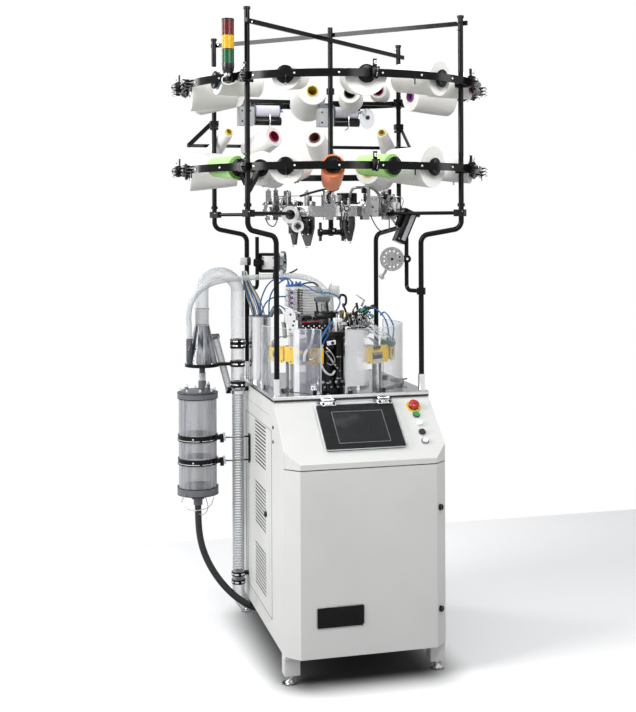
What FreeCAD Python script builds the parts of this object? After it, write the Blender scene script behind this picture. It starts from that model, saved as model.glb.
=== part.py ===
"""Single-cylinder sock knitting machine with its yarn creel and waste suction unit.

Millimetres. The origin is on the floor under the knitting axis, +Z up, the operator
stands at -Y and +X is to the operator's right.
"""

import FreeCAD, Part
import math
import os
import re

from FreeCAD import Placement, Rotation, Vector

DOC = FreeCAD.newDocument("knitting_machine")
SHEET = DOC.addObject("Spreadsheet::Sheet", "Sizes")

SIZES = {
    # cabinet
    "cabinet_half": 302.5,
    "cabinet_front": -523,
    "cabinet_rear": 377,
    "corner_cut": 49,
    "skin": 1.5,
    "pan_skin": 2,
    "floor_gap": 35,
    "panel_bottom": 106,
    "door_top": 767,
    "door_gap": 4,
    "post_width": 56,
    "post_depth": 48,
    "rail_height": 36,
    "foot_radius": 20,
    "foot_height": 6,
    "foot_stem": 6,
    # console and plate
    "console_bend": 790,
    "console_top": 974,
    "plate_front": -300,
    "plate_bottom": 979,
    "plate_thickness": 20,
    "plate_bore": 60,
    # side vents
    "vent_width": 205,
    "vent_height": 6,
    "vent_pitch": 14.2,
    "vent_count": 12,
    "vent_radius": 2.9,
    # terminal and buttons
    "terminal_width": 296,
    "terminal_height": 212,
    "terminal_depth": 8,
    "display_width": 193,
    "display_height": 148,
    "cover_width": 308,
    "cover_height": 226,
    "cover_sheet": 4,
    "button_radius": 11,
    "button_bezel": 14.5,
    "bezel_depth": 4,
    "button_depth": 9,
    "stop_radius": 20,
    "stop_collar": 27,
    "running_gap": 0.05,
    # creel
    "tube_radius": 10,
    "creel_top": 2420,
    "upright_lower_x": 283,
    "upright_front_y": -275,
    "upright_rear_y": 310,
    "upright_upper_x": 409,
    "upright_upper_y": 374,
    "upright_bend_low": 1590,
    "upright_bend_high": 1618,
    "upright_bend_radius": 34,
    "socket_radius": 13,
    "socket_height": 63,
    "centre_pole_bottom": 1588,
    "brace_height": 17,
    "brace_width": 8,
    "ring_radius": 595,
    "ring_bar": 6,
    "ring_height": 28,
    "ring_upper": 2165,
    "ring_lower": 1842,
    "core_outer": 24,
    "core_inner": 20,
    "core_rim": 5,
    "hub_radius": 31,
    "hub_depth": 9,
    # signal tower
    "signal_radius": 22,
    "signal_module": 51,
    # elastic yarn feeders
    "spool_radius": 25,
    "spool_length": 108,
    "roller_radius": 17,
    "elastic_axis_y": 374,
    "elastic_axis_z": 2118,
    # yarn feeder ring
    "feeder_radius": 232,
    "feeder_height": 1692,
    # knitting head
    "guard_radius": 285,
    "guard_sheet": 4,
    "guard_height": 240,
    "cylinder_radius": 57,
    "cylinder_wall": 7,
    "cylinder_top": 1216,
    "housing_radius": 104,
    "housing_top": 1168,
    "needle_slots": 30,
    "selector_radius": 246,
    "selector_middle": 1134,
    "board_width": 118,
    "board_height": 66,
    "wheel_radius": 46.5,
    # waste suction
    "pipe_radius": 27.5,
    "pipe_x": -344,
    "pipe_y": 200,
    "pipe_top": 1362,
    "pipe_bottom": 968,
    "hose_bottom": 196,
    "elbow_radius": 73,
    "cone_top": 1297,
    "cone_neck": 1228,
    "cone_bottom": 1074,
    "cone_radius": 62,
    "neck_radius": 29,
    "collector_radius": 77,
    "collector_top": 940,
    "collector_bottom": 571,
    "collector_x": -509,
    "cap_radius": 82,
    "drain_diameter": 27,
    "waste_hose_diameter": 24,
}

NODES = {}
FRONT, LEFT, UP = Vector(0, -1, 0), Vector(-1, 0, 0), Vector(0, 0, 1)


def fill_sheet():
    for row, (alias, number) in enumerate(SIZES.items(), start=1):
        SHEET.set("A%d" % row, alias)
        SHEET.set("B%d" % row, str(number))
        SHEET.setAlias("B%d" % row, alias)
    DOC.recompute()


def mm(alias):
    """The sheet's value of one driving dimension."""
    return float(SHEET.get(alias))


ALIAS = re.compile(r"\b(%s)\b" % "|".join(sorted(SIZES, key=len, reverse=True)))


def bind(thing, **formulas):
    """Bind properties to formulas of sheet names; x, y and z are the place."""
    for name, formula in formulas.items():
        target = "Placement.Base." + name if name in "xyz" else name
        thing.setExpression(target, ALIAS.sub(r"Sizes.\1", str(formula)))
    return thing


def new(kind, name):
    thing = DOC.addObject(kind, name)
    thing.Label = name
    return thing


def node(name, thing):
    """Register a finished sub-part under its node name."""
    thing.Label = name
    NODES[name] = thing
    return thing


def box(name, length, width, height, x, y, z):
    """A block with its lowest corner at x, y, z; every value may be a formula."""
    return bind(new("Part::Box", name), Length=length, Width=width, Height=height, x=x, y=y, z=z)


def slab(name, length, width, height, place):
    """A block in a turned place."""
    thing = bind(new("Part::Box", name), Length=length, Width=width, Height=height)
    thing.Placement = place
    return thing


def rod(name, radius, height, at, along=UP, spin=None):
    """A round bar of bound size that starts at a point and runs along a direction."""
    thing = bind(new("Part::Cylinder", name), Radius=radius, Height=height)
    thing.Placement = Placement(at, spin or Rotation(UP, along))
    return thing


def fuse(name, parts):
    thing = new("Part::MultiFuse", name)
    thing.Shapes = parts
    thing.Refine = True
    return thing


def cut(name, base, tools):
    thing = new("Part::Cut", name)
    thing.Base = base
    thing.Tool = tools[0] if len(tools) == 1 else fuse(name + "_tools", tools)
    return thing


def group(name, parts):
    thing = new("Part::Compound", name)
    thing.Links = parts
    return thing


def shaped(name, shape, place=None):
    thing = new("Part::Feature", name)
    thing.Shape = shape
    if place is not None:
        thing.Placement = place
    return thing


def copies(name, master, places):
    """Separate solids of one master shape, set at several places."""
    base = master.Shape.copy()
    return shaped(name, Part.makeCompound([base.transformed(p.toMatrix(), True) for p in places]))


def body(name, place=None):
    thing = new("PartDesign::Body", name)
    if place is not None:
        thing.Placement = place
    return thing


def plane(owner, role):
    return next(item for item in owner.Origin.OriginFeatures if item.Role == role)


def sketch(owner, role, curves, offset=0):
    drawing = owner.newObject("Sketcher::SketchObject", owner.Name + "_sketch")
    drawing.AttachmentSupport = [(plane(owner, role), "")]
    drawing.MapMode = "FlatFace"
    drawing.AttachmentOffset = Placement(Vector(0, 0, offset), Rotation())
    for curve in curves:
        drawing.addGeometry(curve, False)
    return drawing


def outline(corners, closed=True):
    """Lines through (x, y) or (x, y, r) corners, with a tangent arc at each r."""
    count = len(corners)
    stops = []
    for index, corner in enumerate(corners):
        here = Vector(corner[0], corner[1], 0)
        radius = corner[2] if len(corner) > 2 else 0
        if radius == 0:
            stops.append((here, here, None))
            continue
        before = corners[index - 1]
        after = corners[(index + 1) % count]
        back = (Vector(before[0], before[1], 0) - here).normalize()
        ahead = (Vector(after[0], after[1], 0) - here).normalize()
        half = back.getAngle(ahead) / 2
        reach = radius / math.tan(half)
        middle = here + (back + ahead).normalize() * (radius / math.sin(half) - radius)
        start, end = here + back * reach, here + ahead * reach
        stops.append((start, end, Part.Arc(start, middle, end)))
    curves = []
    for index, (start, end, arc) in enumerate(stops):
        if arc is not None:
            curves.append(arc)
        if closed or index < count - 1:
            following = stops[(index + 1) % count][0]
            if (following - end).Length > 1e-6:
                curves.append(Part.LineSegment(end, following))
    return curves


def circle(radius, x=0, y=0):
    return Part.Circle(Vector(x, y, 0), UP, radius)


def pad(owner, drawing, length, midplane=False):
    feature = owner.newObject("PartDesign::Pad", owner.Name + "_pad")
    feature.Profile = drawing
    feature.Midplane = midplane
    return bind(feature, Length=length)


def pocket(owner, drawing, length, reverse=False):
    feature = owner.newObject("PartDesign::Pocket", owner.Name + "_pocket")
    feature.Profile = drawing
    feature.Reversed = reverse
    return bind(feature, Length=length)


def revolve(owner, drawing, angle=360):
    feature = owner.newObject("PartDesign::Revolution", owner.Name + "_turn")
    feature.Profile = drawing
    feature.ReferenceAxis = (drawing, ["V_Axis"])
    feature.Angle = angle
    return feature


def repeat_round(owner, feature, count):
    """Repeat a feature evenly round its body's Z axis."""
    DOC.recompute()
    pattern = owner.newObject("PartDesign::PolarPattern", owner.Name + "_round")
    pattern.Originals = [feature]
    pattern.Axis = (plane(owner, "Z_Axis"), [""])
    pattern.Angle = 360
    pattern.Occurrences = count
    owner.Tip = pattern
    return pattern


def prism(name, corners, length, role="XY_Plane", offset=0, place=None, midplane=False):
    owner = body(name, place)
    pad(owner, sketch(owner, role, outline(corners), offset), length, midplane)
    return owner


def turned(name, profile, place=None, angle=360):
    """A piece turned about its own Z axis from an (r, z) profile."""
    owner = body(name, place)
    revolve(owner, sketch(owner, "XZ_Plane", outline(profile)), angle)
    return owner


def at(x, y, z, axis=UP, degrees=0):
    return Placement(Vector(x, y, z), Rotation(axis, degrees))


def facing(point, direction):
    """The place of a turned piece whose Z axis points along a direction."""
    return Placement(Vector(*point), Rotation(UP, Vector(*direction)))


def polar(radius, degrees, height=0):
    angle = math.radians(degrees)
    return Vector(radius * math.cos(angle), radius * math.sin(angle), height)


def strut(start, end, width, height):
    """A straight flat bar between two points."""
    run = end - start
    bar = Part.makeBox(run.Length, width, height, Vector(0, -width / 2, -height / 2))
    yaw = math.degrees(math.atan2(run.y, run.x))
    pitch = math.degrees(math.atan2(run.z, math.hypot(run.x, run.y)))
    turn = Rotation(UP, yaw).multiply(Rotation(Vector(0, 1, 0), -pitch))
    return bar.transformed(Placement(start, turn).toMatrix(), True)


def soft_path(points):
    """Straight runs joined by tangent arcs as large as their runs allow."""
    edges, radii, here = [], [], points[0]
    for before, corner, after in zip(points, points[1:], points[2:]):
        back, ahead = before - corner, after - corner
        half = back.getAngle(ahead) / 2
        reach = 0.45 * min(back.Length, ahead.Length)
        radius = reach * math.tan(half)
        back.normalize()
        ahead.normalize()
        start, end = corner + back * reach, corner + ahead * reach
        middle = corner + (back + ahead).normalize() * (radius / math.sin(half) - radius)
        edges.append(Part.LineSegment(here, start).toShape())
        edges.append(Part.Arc(start, middle, end).toShape())
        radii.append(round(radius))
        here = end
    edges.append(Part.LineSegment(here, points[-1]).toShape())
    return Part.Wire(edges), radii


def hose(name, route, diameter, bore=0):
    """A round tube along a hand-chosen route, with its volume compared."""
    points = [Vector(*point) for point in route]
    spine, radii = soft_path(points)

    def sweep(radius):
        ring = Part.makeCircle(radius, points[0], points[1] - points[0])
        return spine.makePipeShell([Part.Wire(ring)], True, False)

    solid = sweep(diameter / 2)
    section = math.pi * diameter**2 / 4
    ratio = solid.Volume / (section * spine.Length)
    print("%s: length %.0f, radii %s, volume ratio %.3f" % (name, spine.Length, radii, ratio))
    return solid.cut(sweep(bore / 2)) if bore else solid


# ---------------------------------------------------------------- cabinet


def console_slope():
    rise = mm("console_top") - mm("console_bend")
    return math.atan2(rise, mm("plate_front") - mm("cabinet_front"))


def on_slope(x, up_slope, proud=0):
    """A point on the console's sloping face, measured from its front bend."""
    slope = console_slope()
    return Vector(
        x,
        mm("cabinet_front") + up_slope * math.cos(slope) - proud * math.sin(slope),
        mm("console_bend") + up_slope * math.sin(slope) + proud * math.cos(slope),
    )


def slope_place(x, up_slope, proud=0):
    turn = Rotation(Vector(1, 0, 0), math.degrees(console_slope()))
    return Placement(on_slope(x, up_slope, proud), turn)


DRAIN_PLATE_X = -190
HINGE_PIN = 3
HINGE_BRACKET_LOW = 98


def door_hinge_line(z):
    """A point of the door's hinge axis, the rear edge of its left corner facet."""
    return Vector(-mm("cabinet_half"), mm("cabinet_front") + mm("corner_cut"), z)


def make_frame():
    """Welded posts and rails inside the cabinet skins."""
    inner = "cabinet_half - skin"
    front = "cabinet_front + corner_cut + 2"
    rear = "cabinet_rear - skin - post_depth"
    middle = "plate_front + 2"
    members = []
    for side, sign in (("left", -1), ("right", 1)):
        x = "-(%s)" % inner if sign < 0 else "%s - post_width" % inner
        posts = {
            "front": (front, "floor_gap", "door_top + 2"),
            "middle": (middle, "panel_bottom + 4", "plate_bottom"),
            "rear": (rear, "floor_gap", "plate_bottom"),
        }
        for place, (y, low, high) in posts.items():
            name = "post_%s_%s" % (place, side)
            members.append(box(name, "post_width", "post_depth", "(%s) - (%s)" % (high, low), x, y, low))
        long_run = "cabinet_rear - skin - cabinet_front - corner_cut - 2"
        members.append(
            box("sill_" + side, "post_width", long_run, "rail_height", x, front, "panel_bottom + 4")
        )
        short_run = "cabinet_rear - skin - plate_front - 2"
        high = "plate_bottom - rail_height"
        members.append(box("rail_" + side, "post_width", short_run, "rail_height", x, middle, high))
    width = "2 * (cabinet_half - skin)"
    for place, y, z in (
        ("low_front", front, "panel_bottom + 4"),
        ("low_rear", rear, "panel_bottom + 4"),
        ("high_front", front, "door_top + 2 - rail_height"),
        ("high_middle", middle, "plate_bottom - rail_height"),
        ("high_rear", rear, "plate_bottom - rail_height"),
    ):
        members.append(box("cross_" + place, width, "post_depth", "rail_height", "-(%s)" % inner, y, z))
    members.append(box("cross_drain", width, "post_depth", "rail_height", "-(%s)" % inner, 176,
                       "panel_bottom + 4"))
    members.append(box("drain_plate", 12, 130, 72, DRAIN_PLATE_X, 125, "panel_bottom - 68"))
    hinge = door_hinge_line(HINGE_BRACKET_LOW)
    bracket = slab("hinge_bracket", 24, 12, 4, at(hinge.x - 6.5, hinge.y - 8, hinge.z))
    frame = cut("frame_members", fuse("frame_posts", members + [bracket]), [
        rod("hinge_bore", HINGE_PIN + mm("running_gap"), 20, hinge - UP * 8)])
    DOC.recompute()
    strikes = []
    for name, z in LOCK_HEIGHTS.items():
        along = Vector(1, 1, 0).normalize()
        seat = lock_place(z) - OUTWARD * 7
        strike = strut(seat + along * 10, seat + along * 42, 2, 40)
        strikes.append(shaped("strike_" + name, strike.cut(frame.Shape)))
    node("base_frame", group("base_frame", [frame] + strikes))


def make_feet():
    disc, stem = mm("foot_radius"), mm("foot_stem")
    foot = turned(
        "foot",
        [(0, 0), (disc, 0), (disc, mm("foot_height")), (stem, mm("foot_height")), (stem, 27), (11, 27),
         (11, mm("floor_gap")), (0, mm("floor_gap"))],
    )
    DOC.recompute()
    x = mm("cabinet_half") - 17
    front = mm("cabinet_front") + mm("corner_cut") + 26
    rear = mm("cabinet_rear") - 26
    places = [at(sign * x, y, 0) for sign in (-1, 1) for y in (front, rear)]
    node("levelling_feet", copies("levelling_feet", foot, places))


def side_outline():
    """The side skin as seen from the side, in (y, z)."""
    front = mm("cabinet_front") + mm("corner_cut")
    slope = math.tan(console_slope())
    bend = mm("console_bend") + mm("corner_cut") * slope
    rear, low, high = mm("cabinet_rear"), mm("panel_bottom"), mm("plate_bottom") - 5
    return [(front, low), (front, bend), (mm("plate_front"), high), (rear, high), (rear, low)]


def side_skin(name, sign, inset, depth):
    """One side skin: a fixed sheet with an opening, and the vented access sheet in it."""
    x = sign * (mm("cabinet_half") - (mm("skin") if sign > 0 else 0))
    place = at(x, 0, 0)
    owner = body(name + "_sheet", place)
    pad(owner, sketch(owner, "YZ_Plane", outline(side_outline())), "skin")
    y0, y1, z0, z1 = inset
    opening = [(y0, z0, 6), (y1, z0, 6), (y1, z1, 6), (y0, z1, 6)]
    pocket(owner, sketch(owner, "YZ_Plane", outline(opening)), "skin", True)
    door = body(name + "_vents", place)
    gap = 1.5
    sheet = [(y0 + gap, z0 + gap, 5), (y1 - gap, z0 + gap, 5),
             (y1 - gap, z1 - gap, 5), (y0 + gap, z1 - gap, 5)]
    pad(door, sketch(door, "YZ_Plane", outline(sheet)), "skin")
    left, width, height = -160, mm("vent_width"), mm("vent_height")
    for low in (700, 461, 219):
        slot = [(left, low), (left + width, low), (left + width, low + height), (left, low + height)]
        row = pocket(door, sketch(door, "YZ_Plane", outline(slot)), "skin", True)
        DOC.recompute()
        rows = door.newObject("PartDesign::LinearPattern", name + "_rows")
        rows.Originals = [row]
        rows.Direction = (plane(door, "Z_Axis"), [""])
        rows.Occurrences = int(mm("vent_count"))
        bind(rows, Length="vent_pitch * (vent_count - 1)")
        door.Tip = rows
    lock = rod(name + "_lock", 9, 3, Vector(sign * mm("cabinet_half"), -168, 538), Vector(sign, 0, 0))
    return [owner, door, lock]


def make_panels():
    inset = (-222, 350, 148, 922)
    skins = side_skin("left_side", -1, inset, 0) + side_skin("right_side", 1, inset, 0)
    rear = box("rear_sheet", "2 * (cabinet_half - skin)", "skin", "plate_bottom - 5 - panel_bottom",
               "-(cabinet_half - skin)", "cabinet_rear - skin", "panel_bottom")
    node("cabinet_panels", group("cabinet_panels", skins + [rear]))


def corner_plan(inset=0.0, rear=None):
    """The door's and console's plan outline: a straight front with two cut corners."""
    half, front = mm("cabinet_half") - inset, mm("cabinet_front") + inset
    chamfer = mm("corner_cut")
    back = front + chamfer - inset if rear is None else rear
    edge = front + chamfer - 0.6 * inset
    short = half - chamfer + 0.6 * inset
    outline_points = [(-short, front), (short, front), (half, edge), (half, back), (-half, back),
                      (-half, edge)]
    if abs(back - edge) < 1e-6:
        outline_points = [(-short, front), (short, front), (half, edge), (-half, edge)]
    return outline_points


def lock_place(height):
    """The quarter-turn lock's seat, a third of the way across the right corner facet."""
    chamfer = mm("corner_cut")
    x = mm("cabinet_half") - chamfer + 16
    return Vector(x, mm("cabinet_front") + 16, height)


LOCK_HEIGHTS = {"upper": 608, "lower": 240}
OUTWARD = Vector(1, -1, 0).normalize()


def make_door():
    """A folded pan with cut corners, hung on its left edge."""
    height = "door_top - panel_bottom"
    owner = body("door_pan", at(0, 0, mm("panel_bottom")))
    pad(owner, sketch(owner, "XY_Plane", outline(corner_plan())), height)
    skin = mm("pan_skin")
    rear = mm("cabinet_front") + mm("corner_cut") + 10
    pocket(owner, sketch(owner, "XY_Plane", outline(corner_plan(skin, rear)), skin),
           "door_top - panel_bottom - 2 * pan_skin", True)
    holes = [
        rod("door_hole_" + name, "9 + running_gap", 20, lock_place(z) - OUTWARD * 10, OUTWARD)
        for name, z in LOCK_HEIGHTS.items()
    ]
    low = HINGE_BRACKET_LOW - 1
    pin = rod("door_hinge_pin", HINGE_PIN, mm("panel_bottom") - low, door_hinge_line(low))
    node("front_door", fuse("front_door", [cut("front_door_pan", owner, holes), pin]))
    for name, z in LOCK_HEIGHTS.items():
        seat = lock_place(z)
        head = rod("lock_head_" + name, 11, 9, seat + OUTWARD * 0.2, OUTWARD)
        barrel = rod("lock_barrel_" + name, 9, 14, seat - OUTWARD * 12, OUTWARD)
        facet = Rotation(UP, OUTWARD)
        slot_place = Placement(seat + OUTWARD * 8, facet).multiply(at(-7, -1.2, 0))
        slot = slab("lock_slot_" + name, 14, 2.4, 2, slot_place)
        cam_place = Placement(seat - OUTWARD * 11, facet).multiply(at(-20, -4.5, 0))
        cam = slab("lock_cam_" + name, 26, 9, 2, cam_place)
        solid = fuse("lock_solid_" + name, [head, barrel, cam])
        node("door_lock_" + name, cut("door_lock_" + name, solid, [slot]))


def make_console():
    """The sloping hood between door and top plate, open below and behind."""
    front, bend, top = mm("cabinet_front"), mm("console_bend"), mm("console_top")
    low, rear, skin = mm("door_top") + mm("door_gap"), mm("plate_front"), mm("pan_skin")
    width = "2 * (cabinet_half - skin)"

    def wedge(name, lift, back):
        tan = math.tan(console_slope())
        drop = lift / math.cos(console_slope())
        profile = [(front + lift, low - lift), (front + lift, bend - drop + lift * tan),
                   (rear + back, top - drop + back * tan), (rear + back, low - lift)]
        length = width if lift == 0 else width + " - 2 * pan_skin"
        return prism(name, profile, length, "YZ_Plane", midplane=True)

    def corners(name, inset):
        plan = corner_plan(inset, rear + 60)
        return prism(name, plan, 400, place=at(0, 0, low - 60))

    hood = new("Part::Common", "hood_outside")
    hood.Base, hood.Tool = wedge("hood_wedge", 0, 0), corners("hood_corners", 0.0)
    hollow = new("Part::Common", "hood_inside")
    hollow.Base, hollow.Tool = wedge("hood_hollow", skin, 30), corners("hollow_corners", skin)
    slope = Rotation(Vector(1, 0, 0), math.degrees(console_slope()))
    holes = [rod("hole_%s" % name, "button_radius + 2", 20, on_slope(BUTTON_X, s, -10), spin=slope)
             for name, s in BUTTONS.items()]
    node("console_housing", cut("console_housing", hood, [hollow] + holes))


def make_top_plate():
    owner = body("top_plate", at(0, 0, mm("plate_bottom")))
    half, front, rear = mm("cabinet_half"), mm("plate_front"), mm("cabinet_rear")
    edge = [(-half, front, 5), (half, front, 5), (half, rear, 5), (-half, rear, 5)]
    pad(owner, sketch(owner, "XY_Plane", outline(edge) + [circle(mm("plate_bore"))]), "plate_thickness")
    node("top_plate", owner)


def make_inner_units():
    """Control box and the hollow motor that turns the needle cylinder."""
    case = box("control_case", 440, 280, 520, -220, 20, 160)
    lid = box("control_lid", 420, 6, 500, -210, 14, 170)
    stand = [box("control_stand_%d" % n, 40, 240, 14, x, 40, 146) for n, x in enumerate((-200, 160))]
    node("control_box", fuse("control_box", [case, lid] + stand))
    bore, top = mm("plate_bore") - 2, mm("plate_bottom")
    node("drive_motor", turned("drive_motor", [
        (bore, 800), (130, 800), (130, 816), (124, 816), (124, 950), (132, 950), (132, top), (bore, top),
    ]))


# ---------------------------------------------------------------- terminal and buttons

BUTTON_X = 230
BUTTONS = {"emergency_stop": 247, "green_button": 205, "white_button": 163, "black_button": 121,
           "reset_button": 79}
HINGE_MIDDLES = (-101, 116)
TERMINAL_MIDDLE = 160


def make_terminal():
    wide, tall, deep = mm("terminal_width"), mm("terminal_height"), mm("terminal_depth")
    owner = body("terminal_panel", slope_place(2, TERMINAL_MIDDLE))
    half, edge = wide / 2, tall / 2
    face = [(-half, -edge, 6), (half, -edge, 6), (half, edge, 6), (-half, edge, 6)]
    pad(owner, sketch(owner, "XY_Plane", outline(face)), "terminal_depth")
    half_w, half_h = mm("display_width") / 2, mm("display_height") / 2
    glass = [(-half_w, -half_h), (half_w, -half_h), (half_w, half_h), (-half_w, half_h)]
    pocket(owner, sketch(owner, "XY_Plane", outline(glass), deep), 1.2)
    node("terminal_panel", owner)


def make_cover():
    """The clear lid over the terminal, with an eye for each hinge pin."""
    wide, tall = mm("cover_width"), mm("cover_height")
    lift = mm("terminal_depth") + 3
    sheet = body("cover_sheet", slope_place(2, TERMINAL_MIDDLE + 2, lift))
    half, edge = wide / 2, tall / 2
    face = [(-half, -edge, 10), (half, -edge, 10), (half, edge, 4), (-half, edge, 4)]
    pad(sheet, sketch(sheet, "XY_Plane", outline(face)), "cover_sheet")
    parts, holes = [sheet], []
    for number, x in enumerate(HINGE_MIDDLES):
        pin = hinge_axis(x - 12)
        parts.append(rod("cover_eye_%d" % number, 6, 24, pin, Vector(1, 0, 0)))
        parts.append(slab("cover_leaf_%d" % number, 24, 10, 5, slope_place(x - 12, COVER_HINGE - 12, lift)))
        start = hinge_axis(x - 15)
        holes.append(rod("cover_bore_%d" % number, "3 + running_gap", 30, start, Vector(1, 0, 0)))
    lid = fuse("cover_body", parts)
    node("screen_cover", cut("screen_cover", lid, holes))


COVER_HINGE = 284


def hinge_axis(x):
    return on_slope(x, COVER_HINGE, mm("terminal_depth") + 7)


def make_fittings():
    """Chrome hinge blocks of the lid, the button bezels and the stop button's collar."""
    parts = []
    for number, x in enumerate(HINGE_MIDDLES):
        pin = rod("hinge_pin_%d" % number, 3, 46, hinge_axis(x - 23), Vector(1, 0, 0))
        lugs = []
        for side, start in (("a", x - 23), ("b", x + 13)):
            lug = rod("hinge_lug_%d%s" % (number, side), 7, 10, hinge_axis(start), Vector(1, 0, 0))
            place = slope_place(start, COVER_HINGE - 6, 0)
            stem = slab("hinge_stem_%d%s" % (number, side), 10, 12, mm("terminal_depth") + 7, place)
            lugs += [lug, stem]
        parts.append(fuse("hinge_block_%d" % number, [pin] + lugs))
    collar = {"emergency_stop": ("stop_collar", 3)}
    for name, up_slope in BUTTONS.items():
        radius, depth = collar.get(name, ("button_bezel", "bezel_depth"))
        place = slope_place(BUTTON_X, up_slope)
        ring = rod("bezel_" + name, radius, depth, place.Base, spin=place.Rotation)
        bore = rod("bore_" + name, "button_radius + running_gap", 12, on_slope(BUTTON_X, up_slope, -4),
                   spin=place.Rotation)
        parts.append(cut("collar_" + name, ring, [bore]))
    node("console_fittings", group("console_fittings", parts))


def make_buttons():
    button = mm("button_radius")
    for name, up_slope in BUTTONS.items():
        place = slope_place(BUTTON_X, up_slope)
        if name == "emergency_stop":
            head = mm("stop_radius")
            profile = [(0, -8), (button, -8), (button, 8), (head, 8), (head, 18), (head - 6, 23), (0, 23)]
        else:
            proud = mm("button_depth")
            profile = [(0, -8), (button, -8), (button, proud), (0, proud)]
        node(name, turned(name, profile, place))


# ---------------------------------------------------------------- creel

UPRIGHTS = {"front_left": (-1, -1), "front_right": (1, -1), "rear_left": (-1, 1), "rear_right": (1, 1)}


def upright_foot(side, depth):
    y = mm("upright_front_y") if depth < 0 else mm("upright_rear_y")
    return Vector(side * mm("upright_lower_x"), y, 0)


def upright_head(side, depth):
    return Vector(side * mm("upright_upper_x"), depth * mm("upright_upper_y"), 0)


def make_uprights():
    """Bent tubes: a short lower post, a cranked run outwards, a tall upper post."""
    tubes = []
    start = mm("plate_bottom") + mm("plate_thickness") + 8
    for name, (side, depth) in UPRIGHTS.items():
        foot = upright_foot(side, depth)
        reach = upright_head(side, depth) - foot
        turn = math.degrees(math.atan2(reach.y, reach.x))
        owner = body("upright_" + name, at(foot.x, foot.y, start, UP, turn))
        bend = mm("upright_bend_radius")
        route = [(0, 0), (0, mm("upright_bend_low") - start, bend),
                 (reach.Length, mm("upright_bend_high") - start, bend),
                 (reach.Length, mm("creel_top") - start)]
        spine = sketch(owner, "XZ_Plane", outline(route, closed=False))
        ring = sketch(owner, "XY_Plane", [circle(mm("tube_radius"))])
        pipe = owner.newObject("PartDesign::AdditivePipe", owner.Name + "_pipe")
        pipe.Profile = ring
        pipe.Spine = (spine, [])
        tubes.append(owner)
    node("creel_uprights", group("creel_uprights", tubes))


def make_sockets():
    outer, bore, tall = mm("socket_radius"), mm("tube_radius"), mm("socket_height")
    socket = turned("socket", [(0, 0), (outer, 0), (outer, tall), (bore, tall), (bore, 8), (0, 8)])
    DOC.recompute()
    z = mm("plate_bottom") + mm("plate_thickness")
    places = [at(foot.x, foot.y, z) for foot in (upright_foot(*key) for key in UPRIGHTS.values())]
    node("upright_sockets", copies("upright_sockets", socket, places))


REAR_BAR_Y, REAR_BAR_Z = 492, 1975
ELASTIC_BAR_Z = 2152


def feeder_arm(side, depth):
    """The round arm from an upright's clamp to the feeder ring."""
    corner = upright_head(side, depth)
    inward = Vector(-corner.x, -corner.y, 0).normalize()
    clamp = mm("tube_radius") + 16
    start = Vector(corner.x, corner.y, mm("feeder_height") - 16) + inward * clamp
    return Part.makeCylinder(7, corner.Length - clamp - mm("feeder_radius") - 4.2, start, inward)


def make_bars():
    """Centre pole, crossed top braces, rear bars with their struts and the feeder ring's arms."""
    tube = mm("tube_radius")
    bottom = mm("centre_pole_bottom")
    pole = rod("centre_pole", "tube_radius", "creel_top - centre_pole_bottom", Vector(0, 0, bottom))
    shapes = []
    head = upright_head(1, 1)
    beside = (tube + mm("brace_width") / 2) / head.Length
    for sign, z in ((1, 2366), (-1, 2392)):
        corner = Vector(head.x, sign * head.y, z) * 1.04
        corner.z = z
        far = Vector(-corner.x, -corner.y, z)
        side = Vector(-corner.y, corner.x, 0) * beside * (1 / 1.04) * sign
        shapes.append(strut(far - side, corner - side, mm("brace_width"), mm("brace_height")))
    for sign, inner in ((-1, 212), (1, 98)):
        end = Vector(sign * 508, REAR_BAR_Y, REAR_BAR_Z)
        bar = strut(Vector(sign * inner, REAR_BAR_Y, REAR_BAR_Z), end, 10, 14)
        hanger = strut(Vector(sign * (head.x + 12), head.y + 12, 2060), end - Vector(sign * 6, 0, 0), 4, 20)
        block = Part.makeBox(34, 34, 60, Vector(sign * head.x - 17, head.y - 17, 2030))
        shapes += [bar, hanger.cut(bar).cut(block)]
    bars = shapes
    arms = [feeder_arm(side, depth) for side, depth in UPRIGHTS.values()]
    elastic = [
        Part.makeBox(head.x - tube - 16 - inner, 8, 16, Vector(x, head.y - 4, ELASTIC_BAR_Z))
        for x, inner in ((-head.x + tube + 16, 80), (100, 100))
    ]
    loose = shaped("creel_straight_bars", Part.makeCompound(bars + arms + elastic))
    node("creel_bars", group("creel_bars", [pole, loose]))


def make_rings():
    """Two flat-bar hoops that carry the bobbin holders."""
    radius, half, tall = mm("ring_radius"), mm("ring_bar") / 2, mm("ring_height") / 2
    hoops = []
    for name, z in (("upper", mm("ring_upper")), ("lower", mm("ring_lower"))):
        section = [(radius - half, z - tall), (radius + half, z - tall), (radius + half, z + tall),
                   (radius - half, z + tall)]
        hoops.append(turned(name + "_ring", section))
    node("creel_rings", group("creel_rings", hoops))


EYELET_STEP = 45


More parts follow.
